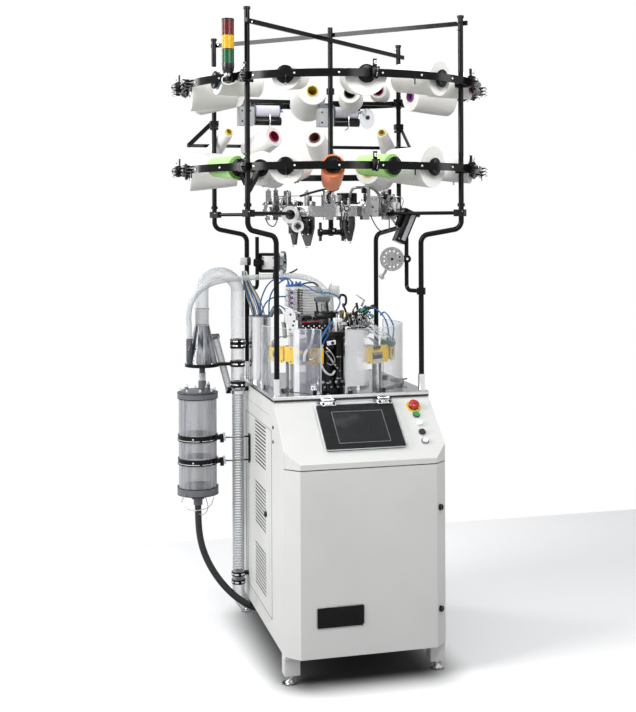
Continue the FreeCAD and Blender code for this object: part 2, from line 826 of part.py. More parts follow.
def make_creel_clamps():
    """Blocks that hold hoops, bars and arms to the uprights, and the hoops' yarn eyelets."""
    tube = mm("tube_radius")
    inner = mm("ring_radius") - mm("ring_bar") / 2
    levels = (mm("ring_upper"), mm("ring_lower"))
    shapes = []
    for side, depth in UPRIGHTS.values():
        corner = upright_head(side, depth)
        outward = math.degrees(math.atan2(corner.y, corner.x))
        turn = at(0, 0, 0, UP, outward)
        hole = Part.makeCylinder(tube, 900, Vector(corner.x, corner.y, 1600))
        for z in levels:
            block = Part.makeBox(inner - corner.Length + 19, 30, 34, Vector(corner.Length - 18, -15, z - 17))
            block = block.common(Part.makeCylinder(inner, 60, Vector(0, 0, z - 30)))
            block = block.transformed(turn.toMatrix(), True)
            if depth > 0 and z == levels[0]:
                start = corner.x - 16 if side < 0 else corner.x - tube - 16
                lug = Part.makeBox(tube + 32, 30, 24, Vector(start, corner.y - 15, ELASTIC_BAR_Z - 4))
                block = block.fuse(lug)
            shapes.append(block.cut(hole).removeSplitter())
        arm = Part.makeBox(42, 26, 26, Vector(corner.Length - 26, -13, mm("feeder_height") - 29))
        shapes.append(arm.transformed(turn.toMatrix(), True).cut(hole))
        if depth > 0:
            low = Part.makeBox(34, 34, 24, Vector(corner.x - 17, corner.y - 17, 2048))
            shapes.append(low.cut(hole))
    outer = mm("ring_radius") + mm("ring_bar") / 2
    for z in levels:
        for step in range(0, 360, EYELET_STEP):
            block = Part.makeBox(12, 22, 40, Vector(outer, -11, z - 20))
            neck = Part.makeBox(5, 14, 28, Vector(outer + 4, -7, z + 20))
            hole = Part.makeBox(9, 7, 12, Vector(outer + 2, -3.5, z + 30))
            hook = Part.makeBox(26, 5, 5, Vector(outer + 12, -2.5, z - 2.5))
            piece = block.multiFuse([neck, hook]).cut(hole).removeSplitter()
            shapes.append(piece.transformed(at(0, 0, 0, UP, step).toMatrix(), True))
    node("creel_clamps", shaped("creel_clamps", Part.makeCompound(shapes)))


# base diameter, nose diameter and length of each yarn package size
PACKAGES = {
    "wide": (178, 150, 184),
    "large": (154, 126, 186),
    "stout": (130, 106, 186),
    "medium": (108, 88, 168),
    "slim": (88, 74, 168),
    "small": (70, 46, 160),
}

# colour, package, hoop angle or carrier and base point, direction of the nose, upward tilt
UPPER_BOBBINS = [
    ("white", "wide", 178, 0, 3),
    ("white", "large", 149, -44, 3),
    ("white", "medium", -152, 12, -4),
    ("white", "medium", -121, 62, 3),
    ("white", "large", 86, -96, 14),
    ("white", "large", -92, 85, 3),
    ("white", "slim", ("hoop", 348, 445, 2210), -111, 0),
    ("white", "stout", -60, 125, 5),
    ("white", "large", 14, -166, 0),
    ("white", "medium", -32, 148, 3),
]
LOWER_BOBBINS = [
    ("green", "slim", ("pole", -435, -328, 1842), 110, 3),
    ("white", "large", 176, -4, 2),
    ("white", "stout", ("pole", -340, -280, 1842), 62, -5),
    ("white", "stout", -121, 62, 3),
    ("orange", "slim", -104, 77, -18),
    ("white", "stout", 52, -125, 5),
    ("green", "slim", -82, 114, 3),
    ("white", "large", -64, 124, 3),
    ("white", "medium", -33, 146, 3),
]
REAR_BOBBINS = [
    ("white", "medium", ("rail", 181, 335, 2169), -107.5, 4.5),
    ("white", "small", ("bar", -396, 464, 1948), -73, 28),
    ("white", "medium", ("bar", -237, 458, 1949), -62, 20),
    ("white", "medium", ("bar", 90, 462, 1928), -119, 27),
    ("white", "small", ("bar", 389, 462, 1963), -119, 25),
]


def bobbin_places():
    """Every package's colour, size and place; its Z axis runs from base to nose."""
    base_radius = mm("ring_radius") - 30
    tiers = ((UPPER_BOBBINS, mm("ring_upper")), (LOWER_BOBBINS, mm("ring_lower")), (REAR_BOBBINS, 0))
    for rows, level in tiers:
        for colour, size, spot, heading, tilt in rows:
            if isinstance(spot, tuple):
                carrier, base = spot[0], Vector(*spot[1:])
            else:
                carrier, base = "hoop", polar(base_radius - 0.6 * max(abs(tilt) - 6, 0), spot, level)
            rise, flat = math.sin(math.radians(tilt)), math.cos(math.radians(tilt))
            ahead = polar(flat, heading, rise)
            yield colour, size, base, ahead, carrier


def make_yarn():
    """Wound packages, their paper cores and the holders that carry them."""
    core_out, core_in, rim = mm("core_outer"), mm("core_inner"), mm("core_rim")
    masters = {}
    for size, (base, nose, length) in PACKAGES.items():
        core = core_out * (0.62 if size == "small" else 1)
        masters[size] = turned("package_" + size, [
            (core, 0), (0.5 * base, 0), (0.5 * nose, length), (core, length),
        ])
        inner = core - (core_out - core_in)
        masters[size + "_core"] = turned("core_" + size, [
            (inner, -rim), (core, -rim), (core, length + rim), (inner, length + rim),
        ])
    DOC.recompute()
    yarn = {"white": [], "green": [], "orange": []}
    cores, holders = [], []
    hub, deep = mm("hub_radius"), mm("hub_depth")
    for colour, size, base, ahead, carrier in bobbin_places():
        matrix = Placement(base, Rotation(UP, ahead)).toMatrix()
        yarn[colour].append(masters[size].Shape.transformed(matrix, True))
        cores.append(masters[size + "_core"].Shape.transformed(matrix, True))
        bore = core_in * (0.5 if size == "small" else 1) - 2
        wide = hub * (0.6 if size == "small" else 1)
        disc = Part.makeCylinder(wide, deep, base - ahead * (deep + rim), ahead)
        spindle = strut(base - ahead * (rim + 1), base + ahead * 56, 1.3 * bore, 1.3 * bore)
        arm = holder_arm(base, ahead, deep + rim, carrier)
        holders.append(disc.multiFuse([spindle, arm]).removeSplitter())
    node("white_yarn", shaped("white_yarn", Part.makeCompound(yarn["white"])))
    node("coloured_yarn", shaped("coloured_yarn", Part.makeCompound(yarn["green"] + yarn["orange"])))
    node("yarn_cores", shaped("yarn_cores", Part.makeCompound(cores)))
    node("bobbin_holders", shaped("bobbin_holders", Part.makeCompound(holders)))


def holder_arm(base, ahead, setback, carrier):
    """The bracket from a hub to the hoop, bar, rail or pole that carries it."""
    back = base - ahead * (setback - 3 + 6 * abs(ahead.z))
    if carrier == "hoop":
        inner = mm("ring_radius") - mm("ring_bar") / 2 - 0.2
        level = min((mm("ring_upper"), mm("ring_lower")), key=lambda z: abs(z - back.z))
        if abs(back.z - level) > 20:
            back = back - ahead * 8
            spot = polar(inner, math.degrees(math.atan2(back.y, back.x)), level)
            return strut(back, spot, 22, 20).common(Part.makeCylinder(inner, 120, Vector(0, 0, level - 60)))
        reach = polar(inner, math.degrees(math.atan2(back.y, back.x)), back.z)
        if (reach - back).Length < 16:
            back = back - Vector(reach.x, reach.y, 0).normalize() * 12
        return strut(back, reach, 22, 26)
    if carrier == "rail":
        return strut(back, Vector(back.x, upright_head(1, 1).y - 4, back.z), 22, 24)
    if carrier == "bar":
        elbow = base - ahead * (setback + 14)
        bar = Vector(elbow.x, REAR_BAR_Y, REAR_BAR_Z)
        beam = Part.makeBox(400, 10, 14, Vector(elbow.x - 200, REAR_BAR_Y - 5, REAR_BAR_Z - 7))
        return strut(back, elbow, 9, 9).fuse(strut(elbow + ahead * 4, bar, 9, 8)).cut(beam)
    corner = upright_head(-1, -1)
    corner.z = base.z - (60 if base.x < corner.x else 84)
    level = Vector(back.x - corner.x, back.y - corner.y, 0).normalize()
    pole = Part.makeCylinder(mm("tube_radius"), 100, corner - Vector(0, 0, 50))
    return strut(back, corner + level * 4, 16, 20).cut(pole)


# ---------------------------------------------------------------- signal tower and elastic feeders

SIGNAL_ANGLE = -141
SIGNAL_LENS_BOTTOM = 2210


def signal_axis():
    return polar(mm("ring_radius") + 24, SIGNAL_ANGLE)


def make_signal_tower():
    spot, radius = signal_axis(), mm("signal_radius")
    low, lens = SIGNAL_LENS_BOTTOM, mm("signal_module")
    top = low + 3 * lens
    base = turned("signal_foot", [
        (0, 2150), (8, 2150), (8, 2188), (radius, 2188), (radius, low), (0, low),
    ], at(spot.x, spot.y, 0))
    cap = turned("signal_cap", [(0, top), (radius, top), (radius, top + 7), (0, top + 7)],
                 at(spot.x, spot.y, 0))
    inner = mm("ring_radius") + mm("ring_bar") / 2
    start, end = (polar(reach, SIGNAL_ANGLE, 2158) for reach in (inner, inner + 16))
    arm = shaped("signal_arm", strut(start, end, 30, 30))
    node("signal_base", group("signal_base", [fuse("signal_stem", [base, arm]), cap]))
    heights = {name: (low + number * lens, lens) for number, name in enumerate(("green", "yellow", "red"))}
    lenses = []
    for name, (z, tall) in heights.items():
        lenses.append(turned("lens_" + name, [
            (0, z), (radius, z), (radius, z + tall - 2), (radius - 1.5, z + tall - 2),
            (radius - 1.5, z + tall), (0, z + tall),
        ], at(spot.x, spot.y, 0)))
    node("signal_lenses", group("signal_lenses", lenses))


ELASTIC_UNITS = {"left": -236, "right": 112}


def make_elastic_units():
    """Driven rollers with the elastic yarn spools that ride on them."""
    spool_r, roller_r, length = mm("spool_radius"), mm("roller_radius"), mm("spool_length")
    y, z = mm("elastic_axis_y"), mm("elastic_axis_z")
    fixed = []
    along = Rotation(UP, Vector(1, 0, 0))
    for name, start in ELASTIC_UNITS.items():
        low = z - spool_r - roller_r - 0.4
        case = Part.makeBox(66, 52, 78, Vector(start - 70, y - 26, low - 18))
        rear = Part.makeBox(length + 22, 6, 22, Vector(start - 4, y + 30, z + 12))
        lug = Part.makeBox(4, 56, 14, Vector(start - 4, y - 20, z + 16))
        frame = Part.makeBox(4, 44, 66, Vector(start - 4, y - 18, low - 8))
        hanger = Part.makeBox(44, 8, ELASTIC_BAR_Z - low - 60, Vector(start - 60, y - 4, low + 60))
        roller = Part.makeCylinder(roller_r, length + 8, Vector(start, y, low), Vector(1, 0, 0))
        shaft = Part.makeCylinder(4, length + 16, Vector(start, y, z), Vector(1, 0, 0))
        eyes = [Part.makeCylinder(7, 4, Vector(start + length + 8, y + 33, z + dz)) for dz in (8, 34)]
        fixed.append(case.multiFuse([frame, rear, lug, roller, hanger, shaft] + eyes).removeSplitter())
        flange = 27
        profile = [(4.06, 0), (flange - 4, 0), (flange - 4, 4), (spool_r, 4), (spool_r, length - 4),
                   (flange - 4, length - 4), (flange - 4, length), (4.06, length)]
        node("elastic_spool_" + name,
             turned("elastic_spool_" + name, profile, Placement(Vector(start + 1, y, z), along)))
    node("elastic_units", shaped("elastic_units", Part.makeCompound(fixed)))


# ---------------------------------------------------------------- feeder ring and accessory arms


FEEDER_ANGLES = (-168, -106, -74, -20, 12, 66, 96, 122, 160)


def make_feeders():
    """The aluminium ring over the head with its yarn feeders and dark yarn covers."""
    radius, z = mm("feeder_radius"), mm("feeder_height")
    node("feeder_ring", turned("feeder_ring", [
        (radius - 4, z - 27), (radius + 4, z - 27), (radius + 4, z + 13), (radius - 4, z + 13),
    ]))
    shapes, covers = [], []
    for number, angle in enumerate(FEEDER_ANGLES):
        turn = at(0, 0, 0, UP, angle).toMatrix()
        tall = 34 if number % 2 else 58
        block = Part.makeBox(30, 46, 44, Vector(radius + 4, -23, z - 24))
        foot = Part.makeBox(20, 30, 16, Vector(radius + 8, -15, z - 40))
        tower = Part.makeBox(20, 16, tall, Vector(radius + 8, 4, z + 20))
        cap = Part.makeCylinder(6, 8, Vector(radius + 18, 12, z + 20 + tall))
        lever = Part.makeBox(40, 5, 8, Vector(radius + 6, -18, z + 20))
        disc = Part.makeCylinder(15, 7, Vector(radius + 34, 0, z - 4), Vector(1, 0, 0))
        piece = block.multiFuse([foot, tower, cap, lever, disc]).removeSplitter()
        shapes.append(piece.transformed(turn, True))
    shapes.append(yarn_sensor())
    node("feeder_units", shaped("feeder_units", Part.makeCompound(shapes)))
    for name, (angle, low, width) in COVERS.items():
        covers.append(teardrop("cover_" + name, angle, low, width))
    bar = Part.makeBox(116, 10, 14, Vector(-58, -18, z - 92))
    posts = [Part.makeBox(10, 10, 74, Vector(x, -18, z - 124)) for x in (-52, 40)]
    pole = Part.makeBox(30, 22, 26, Vector(-15, -32, z - 98))
    clamp = Part.makeBox(26, 8, 26, Vector(-13, -10, z - 98)).cut(
        Part.makeCylinder(mm("tube_radius"), 200, Vector(0, 0, z - 124)))
    bracket = shaped("pole_bracket", bar.multiFuse(posts + [pole, clamp]).cut(
        Part.makeCylinder(mm("tube_radius"), 200, Vector(0, 0, z - 124))).removeSplitter())
    node("feeder_covers", group("feeder_covers", covers + [bracket]))


# angle on the feeder ring, height of the tip, width
COVERS = {
    "broad": (-129, 1552, 54),
    "narrow": (-145, 1556, 36),
    "middle": (-86, 1570, 42),
    "rear": (60, 1570, 40),
}


def teardrop(name, angle, low, width):
    """A dark plastic cover that hangs from the ring and tapers to a yarn outlet."""
    top = mm("feeder_height") - 27
    profile = [(-0.5 * width, top, 8), (-0.5 * width, 0.5 * (low + top) - 6, 30), (-0.12 * width, low, 4),
               (0.16 * width, low, 4), (0.5 * width, 0.5 * (low + top) + 10, 30), (0.5 * width, top, 8)]
    place = Placement(polar(mm("feeder_radius") - 7, angle), Rotation(UP, angle + 90))
    return prism(name, profile, 14, "XZ_Plane", -14, place)


def yarn_sensor():
    """The pale two-disc storage unit at the front left of the ring."""
    z = mm("feeder_height") - 16
    face = polar(mm("feeder_radius") + 42, -139, z)
    out = polar(1, -114)
    side = polar(1, -24)
    body_one = Part.makeCylinder(34, 30, face - out * 26 + Vector(0, 0, -4), out)
    eye = Part.makeCylinder(19, 10, face - out * 2 + Vector(0, 0, -4), out)
    low = face + side * 30 + Vector(0, 0, -48)
    body_two = Part.makeCylinder(24, 26, low - out * 16, out)
    slab = Part.makeCylinder(29, 16, face - out * 20 + side * 12 + Vector(0, 0, -26), out)
    ring = Part.makeCylinder(mm("feeder_radius") + 4, 60, Vector(0, 0, z - 40))
    unit = body_one.cut(eye).multiFuse([slab, body_two])
    return unit.cut(feeder_arm(-1, -1)).cut(ring).removeSplitter()


ARM_POST = {"right": (250, -200), "left": (-261, 200)}
WHEEL_CENTRES = {"right": (186, -214, 1500), "left": (-152, 196, 1478)}
WHEEL_AXES = {"right": (-0.25, -0.97, 0), "left": (0.93, -0.37, 0)}


def bent_post(start, corner, top, radius, bend):
    """A tube that runs level to a corner and turns straight up."""
    ahead = (corner - start).normalize()
    path = Part.Wire([
        Part.LineSegment(start, corner - ahead * bend).toShape(),
        Part.Arc(corner - ahead * bend, corner - ahead * bend * 0.293 + Vector(0, 0, bend * 0.293),
                 corner + Vector(0, 0, bend)).toShape(),
        Part.LineSegment(corner + Vector(0, 0, bend), top).toShape(),
    ])
    return path.makePipeShell([Part.Wire(Part.makeCircle(radius, start, ahead))], True, False)


def make_arms():
    """Black tube arms on two uprights, with the yarn brake, motor and wheel brackets."""
    pieces = []
    heads = {}
    spots = {"right": (upright_foot(1, -1), 1378, 1604), "left": (upright_foot(-1, 1), 1373, 1584)}
    for name, (foot, low, high) in spots.items():
        x, y = ARM_POST[name]
        foot = Vector(foot.x, foot.y, low)
        corner = Vector(x, y, low)
        ahead = (corner - foot).normalize()
        stub = Part.makeCylinder(8, 14, foot + ahead * 8, ahead)
        clamp = Part.makeCylinder(17, 26, foot - Vector(0, 0, 13)).fuse(stub)
        pieces.append(clamp.cut(Part.makeCylinder(mm("tube_radius"), 60, foot - Vector(0, 0, 30))))
        pieces.append(bent_post(foot + ahead * 22, corner, Vector(x, y, high), 8, 22))
        centre = Vector(*WHEEL_CENTRES[name])
        axis = Vector(*WHEEL_AXES[name]).normalize()
        hub = centre - axis * 22
        knob = Part.makeCylinder(16, 26, Vector(x, y, centre.z) - axis * 13, axis)
        link = strut(Vector(x, y, centre.z), hub, 12, 22)
        pin = Part.makeCylinder(5, 36, hub - axis * 2, axis)
        post = Part.makeCylinder(8, high - low, Vector(x, y, low))
        heads[name] = (knob.multiFuse([link, pin]), post)
    motor = Part.makeBox(76, 60, 78, Vector(-38, -30, -39))
    axis = Vector(*WHEEL_AXES["left"]).normalize()
    centre = Vector(*WHEEL_CENTRES["left"]) - axis * 58
    motor = motor.transformed(Placement(centre, Rotation(Vector(1, 0, 0), axis)).toMatrix(), True)
    carrier, post = heads["left"]
    pieces.append(carrier.fuse(motor).removeSplitter().cut(post))
    carrier, post = heads["right"]
    pieces.append(carrier.cut(post))
    brake = Part.makeBox(40, 46, 128, Vector(-20, -23, -64)).fuse(
        Part.makeBox(66, 50, 12, Vector(-33, -25, 56)))
    x, y = ARM_POST["right"]
    lean = Rotation(Vector(0, 1, 0), 24)
    brake = brake.transformed(Placement(Vector(x - 8, y, 1622), lean).toMatrix(), True)
    pieces.append(brake.cut(post).cut(feeder_arm(1, -1)))
    node("accessory_arms", shaped("accessory_arms", Part.makeCompound(pieces)))


def make_wheels():
    """Perforated feed wheels with a grooved rim."""
    rim = mm("wheel_radius")
    for name in WHEEL_CENTRES:
        owner = body("wheel_" + name, facing(WHEEL_CENTRES[name], WHEEL_AXES[name]))
        revolve(owner, sketch(owner, "XZ_Plane", outline([
            (5.05, -7), (14, -7), (14, -2), (rim - 5, -2), (rim - 5, -7), (rim, -7), (rim, 7), (rim - 5, 7),
            (rim - 5, 2), (14, 2), (14, 6), (5.05, 6),
        ])))
        hole = pocket(owner, sketch(owner, "XY_Plane", [circle(3.6, 0.66 * rim)], -4), 10, True)
        repeat_round(owner, hole, 12)
        node("wheel_" + name, owner)


# ---------------------------------------------------------------- knitting head

BOARD_ANGLES = (-166, -132, -59, -26, 8, 56)


def plate_top():
    return mm("plate_bottom") + mm("plate_thickness")


def make_cylinder():
    """The stationary housing, the slotted needle cylinder in it and the dial above."""
    base, outer, top = plate_top(), mm("housing_radius"), mm("housing_top")
    bore = mm("cylinder_radius") + mm("running_gap")
    node("cylinder_housing", turned("cylinder_housing", [
        (bore, base), (150, base), (150, base + 14), (outer, base + 14), (outer, top - 28),
        (outer + 26, top - 28), (outer + 26, top), (bore, top),
    ]))
    radius, wall, high = mm("cylinder_radius"), mm("cylinder_wall"), mm("cylinder_top")
    owner = body("needle_cylinder")
    revolve(owner, sketch(owner, "XZ_Plane", outline([
        (radius - wall, 830), (radius, 830), (radius, high - 2), (radius - 2, high), (radius - wall, high),
    ])))
    slot = [(radius - 2.5, high + 1), (radius + 1, high + 1), (radius + 1, top + 4), (radius - 2.5, top + 4)]
    trick = owner.newObject("PartDesign::Pocket", "needle_trick")
    trick.Profile = sketch(owner, "XZ_Plane", outline(slot))
    trick.Midplane = True
    trick.Length = 3
    repeat_round(owner, trick, int(mm("needle_slots")))
    node("needle_cylinder", owner)
    disc = mm("cylinder_radius") - 1
    dial = body("dial")
    revolve(dial, sketch(dial, "XZ_Plane", outline([
        (0, high + 2), (disc, high + 2), (disc, high + 9), (12, high + 9), (12, high + 48), (0, high + 48),
    ])))
    node("dial", dial)


def make_dial_bracket():
    """Black castings: rear column, arm over the dial, the bearing cap and the front drive case."""
    base, high = plate_top(), mm("cylinder_top")
    column = Part.makeBox(64, 46, high + 70 - base, Vector(-32, 152, base))
    arm = Part.makeBox(52, 176, 30, Vector(-26, -10, high + 40))
    cap = Part.makeCylinder(34, 34, Vector(0, 0, high + 36))
    lip = Part.makeCylinder(22, 6, Vector(0, 0, high + 32))
    socket = Part.makeCylinder(12.06, 24, Vector(0, 0, high + 28))
    dial_head = column.multiFuse([arm, cap, lip]).cut(socket).removeSplitter()
    pivot, low = lift_pivot(), high - 8
    left = Part.makeBox(98, 66, 52, Vector(-148, -110, low)).fuse(
        Part.makeBox(66, 30, 24, Vector(pivot.x - 33, -76, low + 44)))
    left_foot = Part.makeBox(40, 20, low - mm("housing_top"), Vector(-112, -62, mm("housing_top")))
    pin = Part.makeCylinder(3, LIFT_WIDTH + 12, pivot - Vector(LIFT_WIDTH / 2 + 6, 0, 0), Vector(1, 0, 0))
    cheeks = [Part.makeBox(6, 14, pivot.z - low - 60, Vector(x, pivot.y - 7, low + 66))
              for x in (pivot.x - LIFT_WIDTH / 2 - 6, pivot.x + LIFT_WIDTH / 2)]
    left = left.multiFuse([left_foot, pin] + cheeks).removeSplitter()
    case = Part.makeBox(86, 44, 206, Vector(-90, -196, base)).cut(
        Part.makeBox(30, 20, 110, Vector(-62, -200, base + 50)))
    hook = Part.makeCylinder(5, 60, Vector(-78, -200, base + 130))
    pipes = Part.makeBox(92, 12, 10, Vector(-94, -204, base + 186))
    front = case.multiFuse([hook, pipes]).removeSplitter()
    rail = Part.makeCylinder(5, 205, Vector(-10, -262, base))
    node("dial_bracket", shaped("dial_bracket", Part.makeCompound([dial_head, left, front, rail])))


LIFT_WIDTH = 62


def lift_pivot():
    return Vector(-48, -62, mm("cylinder_top") + 72)


def make_lift_handle():
    """The black bail that lifts the dial head."""
    pivot, half = lift_pivot(), LIFT_WIDTH / 2
    legs, eyes = [], []
    for x in (-half + 7, half - 13):
        foot = pivot + Vector(x, 0, 0)
        legs.append(strut(foot, foot + Vector(-8, -8, 52), 6, 6))
        eyes.append(Part.makeCylinder(6, 8, foot - Vector(4, 0, 0), Vector(1, 0, 0)))
    grip = Part.makeCylinder(7, LIFT_WIDTH, pivot + Vector(-half - 8, -8, 52), Vector(1, 0, 0))
    bore = Part.makeCylinder(3.05, 90, pivot - Vector(45, 0, 0), Vector(1, 0, 0))
    handle = legs[0].multiFuse([legs[1], grip] + eyes).cut(bore).removeSplitter()
    node("lift_handle", shaped("lift_handle", handle))


VALVE_LEFT, VALVE_LOW = -172, 1262


def make_valve_block():
    """Air valves in a white block, with their row of hose nozzles."""
    left, low = VALVE_LEFT, VALVE_LOW
    block = Part.makeBox(138, 56, 124, Vector(left, 30, low))
    upper = Part.makeBox(56, 40, 28, Vector(left + 134, 44, low + 52))
    foot = Part.makeBox(100, 40, 12, Vector(left + 24, 44, low - 12))
    post = Part.makeBox(20, 30, low - 12 - plate_top(), Vector(-140, 130, plate_top()))
    bridge = Part.makeBox(40, 92, 12, Vector(-140, 68, low - 12))
    nozzles = [
        Part.makeCylinder(3, 14, Vector(left + 32, 30, low + 16 + 10 * row), FRONT) for row in range(10)
    ]
    solid = block.multiFuse([upper, foot, bridge, post] + nozzles).removeSplitter()
    node("valve_block", shaped("valve_block", solid))


def make_yarn_fingers():
    """A fan of steel yarn fingers on a bowed plate at the right of the dial."""
    high = mm("cylinder_top")
    plate = Part.makeCylinder(150, 10, Vector(0, 0, high - 22)).cut(
        Part.makeCylinder(82, 12, Vector(0, 0, high - 23)))
    keep = Part.makeBox(170, 300, 20, Vector(8, -150, high - 26))
    plate = plate.common(keep)
    shelf = Part.makeCylinder(150, 8, Vector(0, 0, high + 18)).cut(
        Part.makeCylinder(96, 12, Vector(0, 0, high + 16)))
    shelf = shelf.common(Part.makeBox(170, 190, 20, Vector(40, -150, high + 12)))
    parts = [plate, shelf]
    for angle in (-52, -30, -8, 14):
        post = polar(124, angle, high - 14)
        parts.append(Part.makeCylinder(6, 34, post))
    for number, angle in enumerate(range(-62, 34, 12)):
        inner = polar(104, angle, high + 30)
        outer = polar(146, angle - 3, high + 30)
        parts.append(strut(inner, outer, 6, 10))
        parts.append(Part.makeBox(10, 10, 16, polar(140, angle - 3, high + 24) - Vector(5, 5, 0)))
    parts.append(Part.makeCylinder(14, 24, Vector(118, -24, high + 24)))
    parts.append(Part.makeCylinder(12, 40, Vector(96, -60, high + 24)))
    foot = Part.makeBox(30, 40, high - 22 - mm("housing_top"), Vector(90, -20, mm("housing_top")))
    fingers = parts[0].multiFuse(parts[1:] + [foot]).removeSplitter()
    node("yarn_fingers", shaped("yarn_fingers", fingers))


DUCT_X, DUCT_Y, DUCT_RADIUS = -256, 172, 45


def make_selectors():
    """Grey carrier ring with comb actuators, and the yellow driver boards in front of them."""
    radius, middle = mm("selector_radius"), mm("selector_middle")
    carrier = Part.makeCylinder(radius - 12, 12, Vector(0, 0, middle - 10)).cut(
        Part.makeCylinder(radius - 60, 14, Vector(0, 0, middle - 11)))
    gap = Part.makeBox(164, 300, 40, Vector(-104, -300, middle - 24))
    column_gap = Part.makeBox(120, 80, 40, Vector(-60, 140, middle - 24))
    valve_gap = Part.makeBox(40, 60, 40, Vector(-150, 120, middle - 24))
    duct_gap = Part.makeCylinder(DUCT_RADIUS + 5, 40, Vector(DUCT_X, DUCT_Y, middle - 24))
    carrier = carrier.cut(gap).cut(column_gap).cut(valve_gap).cut(duct_gap)
    legs = [Part.makeCylinder(6, middle - 10 - plate_top(), polar(radius - 36, angle, plate_top()))
            for angle in (-150, -40, 20, 200)]
    combs = []
    for angle in BOARD_ANGLES:
        turn = at(0, 0, 0, UP, angle).toMatrix()
        comb = Part.makeBox(30, 54, 26, Vector(radius - 32, -27, middle - 20))
        teeth = [Part.makeBox(6, 4, 9, Vector(radius - 8, y, middle - 29)) for y in range(-25, 24, 8)]
        combs.append(comb.multiFuse(teeth).transformed(turn, True))
    solid = carrier.multiFuse(legs + combs).removeSplitter()
    node("selector_ring", shaped("selector_ring", solid))
    wide, tall = mm("board_width") / 2, mm("board_height") / 2
    board = body("selector_board")
    face = [(-wide, -tall, 2), (wide, -tall, 2), (wide, tall, 2), (-wide, tall, 2)]
    pad(board, sketch(board, "YZ_Plane", outline(face)), 3)
    window = [(-29, -tall + 5), (29, -tall + 5), (29, 8), (-29, 8)]
    pocket(board, sketch(board, "YZ_Plane", outline(window)), 3, True)
    DOC.recompute()
    places = [at(0, 0, 0, UP, angle).multiply(at(radius - 2, 0, middle)) for angle in BOARD_ANGLES]
    node("selector_plates", copies("selector_plates", board, places))


def arc_screen(name, start, end, radius, low, tall):
    """A bowed sheet standing on the plate between two angles."""
    sheet = mm("guard_sheet")
    outer, inner = radius, radius - sheet
    a, m, b = (math.radians(v) for v in (start, (start + end) / 2, end))

    def spot(r, angle):
        return Vector(r * math.cos(angle), r * math.sin(angle), 0)

    curves = [
        Part.Arc(spot(outer, a), spot(outer, m), spot(outer, b)),
        Part.LineSegment(spot(outer, b), spot(inner, b)),
        Part.Arc(spot(inner, b), spot(inner, m), spot(inner, a)),
        Part.LineSegment(spot(inner, a), spot(outer, a)),
    ]
    owner = body(name, at(0, 0, low))
    pad(owner, sketch(owner, "XY_Plane", curves), tall)
    return owner


def make_guards():
    """Clear bowed screens round the head and the open steel cable duct behind them."""
    radius, low = mm("guard_radius"), plate_top()
    node("guard_left", arc_screen("guard_left", -178, -113, radius, low, "guard_height"))
    node("guard_right", arc_screen("guard_right", -94, 26, radius, low, "guard_height"))
    duct_outer, tall = DUCT_RADIUS, 262
    duct = turned("cable_duct", [
        (duct_outer - 2, 0), (duct_outer, 0), (duct_outer, tall), (duct_outer - 2, tall),
    ], at(DUCT_X, DUCT_Y, low))
    rod_tall = Part.makeCylinder(3, 214, Vector(-262, 103, low))
    rod_tall = rod_tall.multiFuse([Part.makeCylinder(9, 8, Vector(-262, 103, low)),
                                   Part.makeCylinder(7, 12, Vector(-262, 103, low + 142))])
    node("steel_guard", group("steel_guard", [duct, shaped("duct_rod", rod_tall)]))


# ---------------------------------------------------------------- waste suction unit


ELBOW_FACETS = 12
BRANCH_STUB, BRANCH_TOP, BRANCH_RADIUS = 12, 1176, 16


def branch_heading():
    """The direction in which the branch hose leaves the separator cone."""
    return polar(1, 31)


def branch_line():
    """The branch hose's lower end, beside the riser pipe, and its upper end, under the cone's outlet."""
    low = Vector(mm("pipe_x"), mm("pipe_y"), 936) + polar(RIBBED_OUTER + 3.5 + BRANCH_RADIUS, 122)
    high = Vector(mm("pipe_x") - 2 * mm("elbow_radius"), mm("pipe_y"), BRANCH_TOP) + branch_heading() * 68
    return low, high


def branch_hose():
    low, high = branch_line()
    outlet = Part.makeCylinder(BRANCH_STUB, 70, high - branch_heading() * 50, branch_heading())
    hose = Part.makeCylinder(BRANCH_RADIUS, (high - low).Length, low, high - low)
    return hose.cut(outlet).Solids[0]


def outlet_bend():
    """The bend at the foot of the ribbed hose that leads under the cabinet."""
    start = Vector(mm("pipe_x"), mm("pipe_y"), mm("hose_bottom"))
    bend = 74
    corner = start - Vector(0, 0, 58)
    middle = corner + Vector(bend * (1 - math.sqrt(0.5)), 0, -bend * math.sqrt(0.5))
    finish = corner + Vector(bend, 0, -bend)
    path = Part.Wire([
        Part.LineSegment(start, corner).toShape(),
        Part.Arc(corner, middle, finish).toShape(),
        Part.LineSegment(finish, Vector(DRAIN_PLATE_X, start.y, finish.z)).toShape(),
    ])
    skins = [
        path.makePipeShell([Part.Wire(Part.makeCircle(radius, start, Vector(0, 0, -1)))], True, False)
        for radius in (RIBBED_OUTER, RIBBED_OUTER - 3)
    ]
    return skins[0].cut(skins[1])


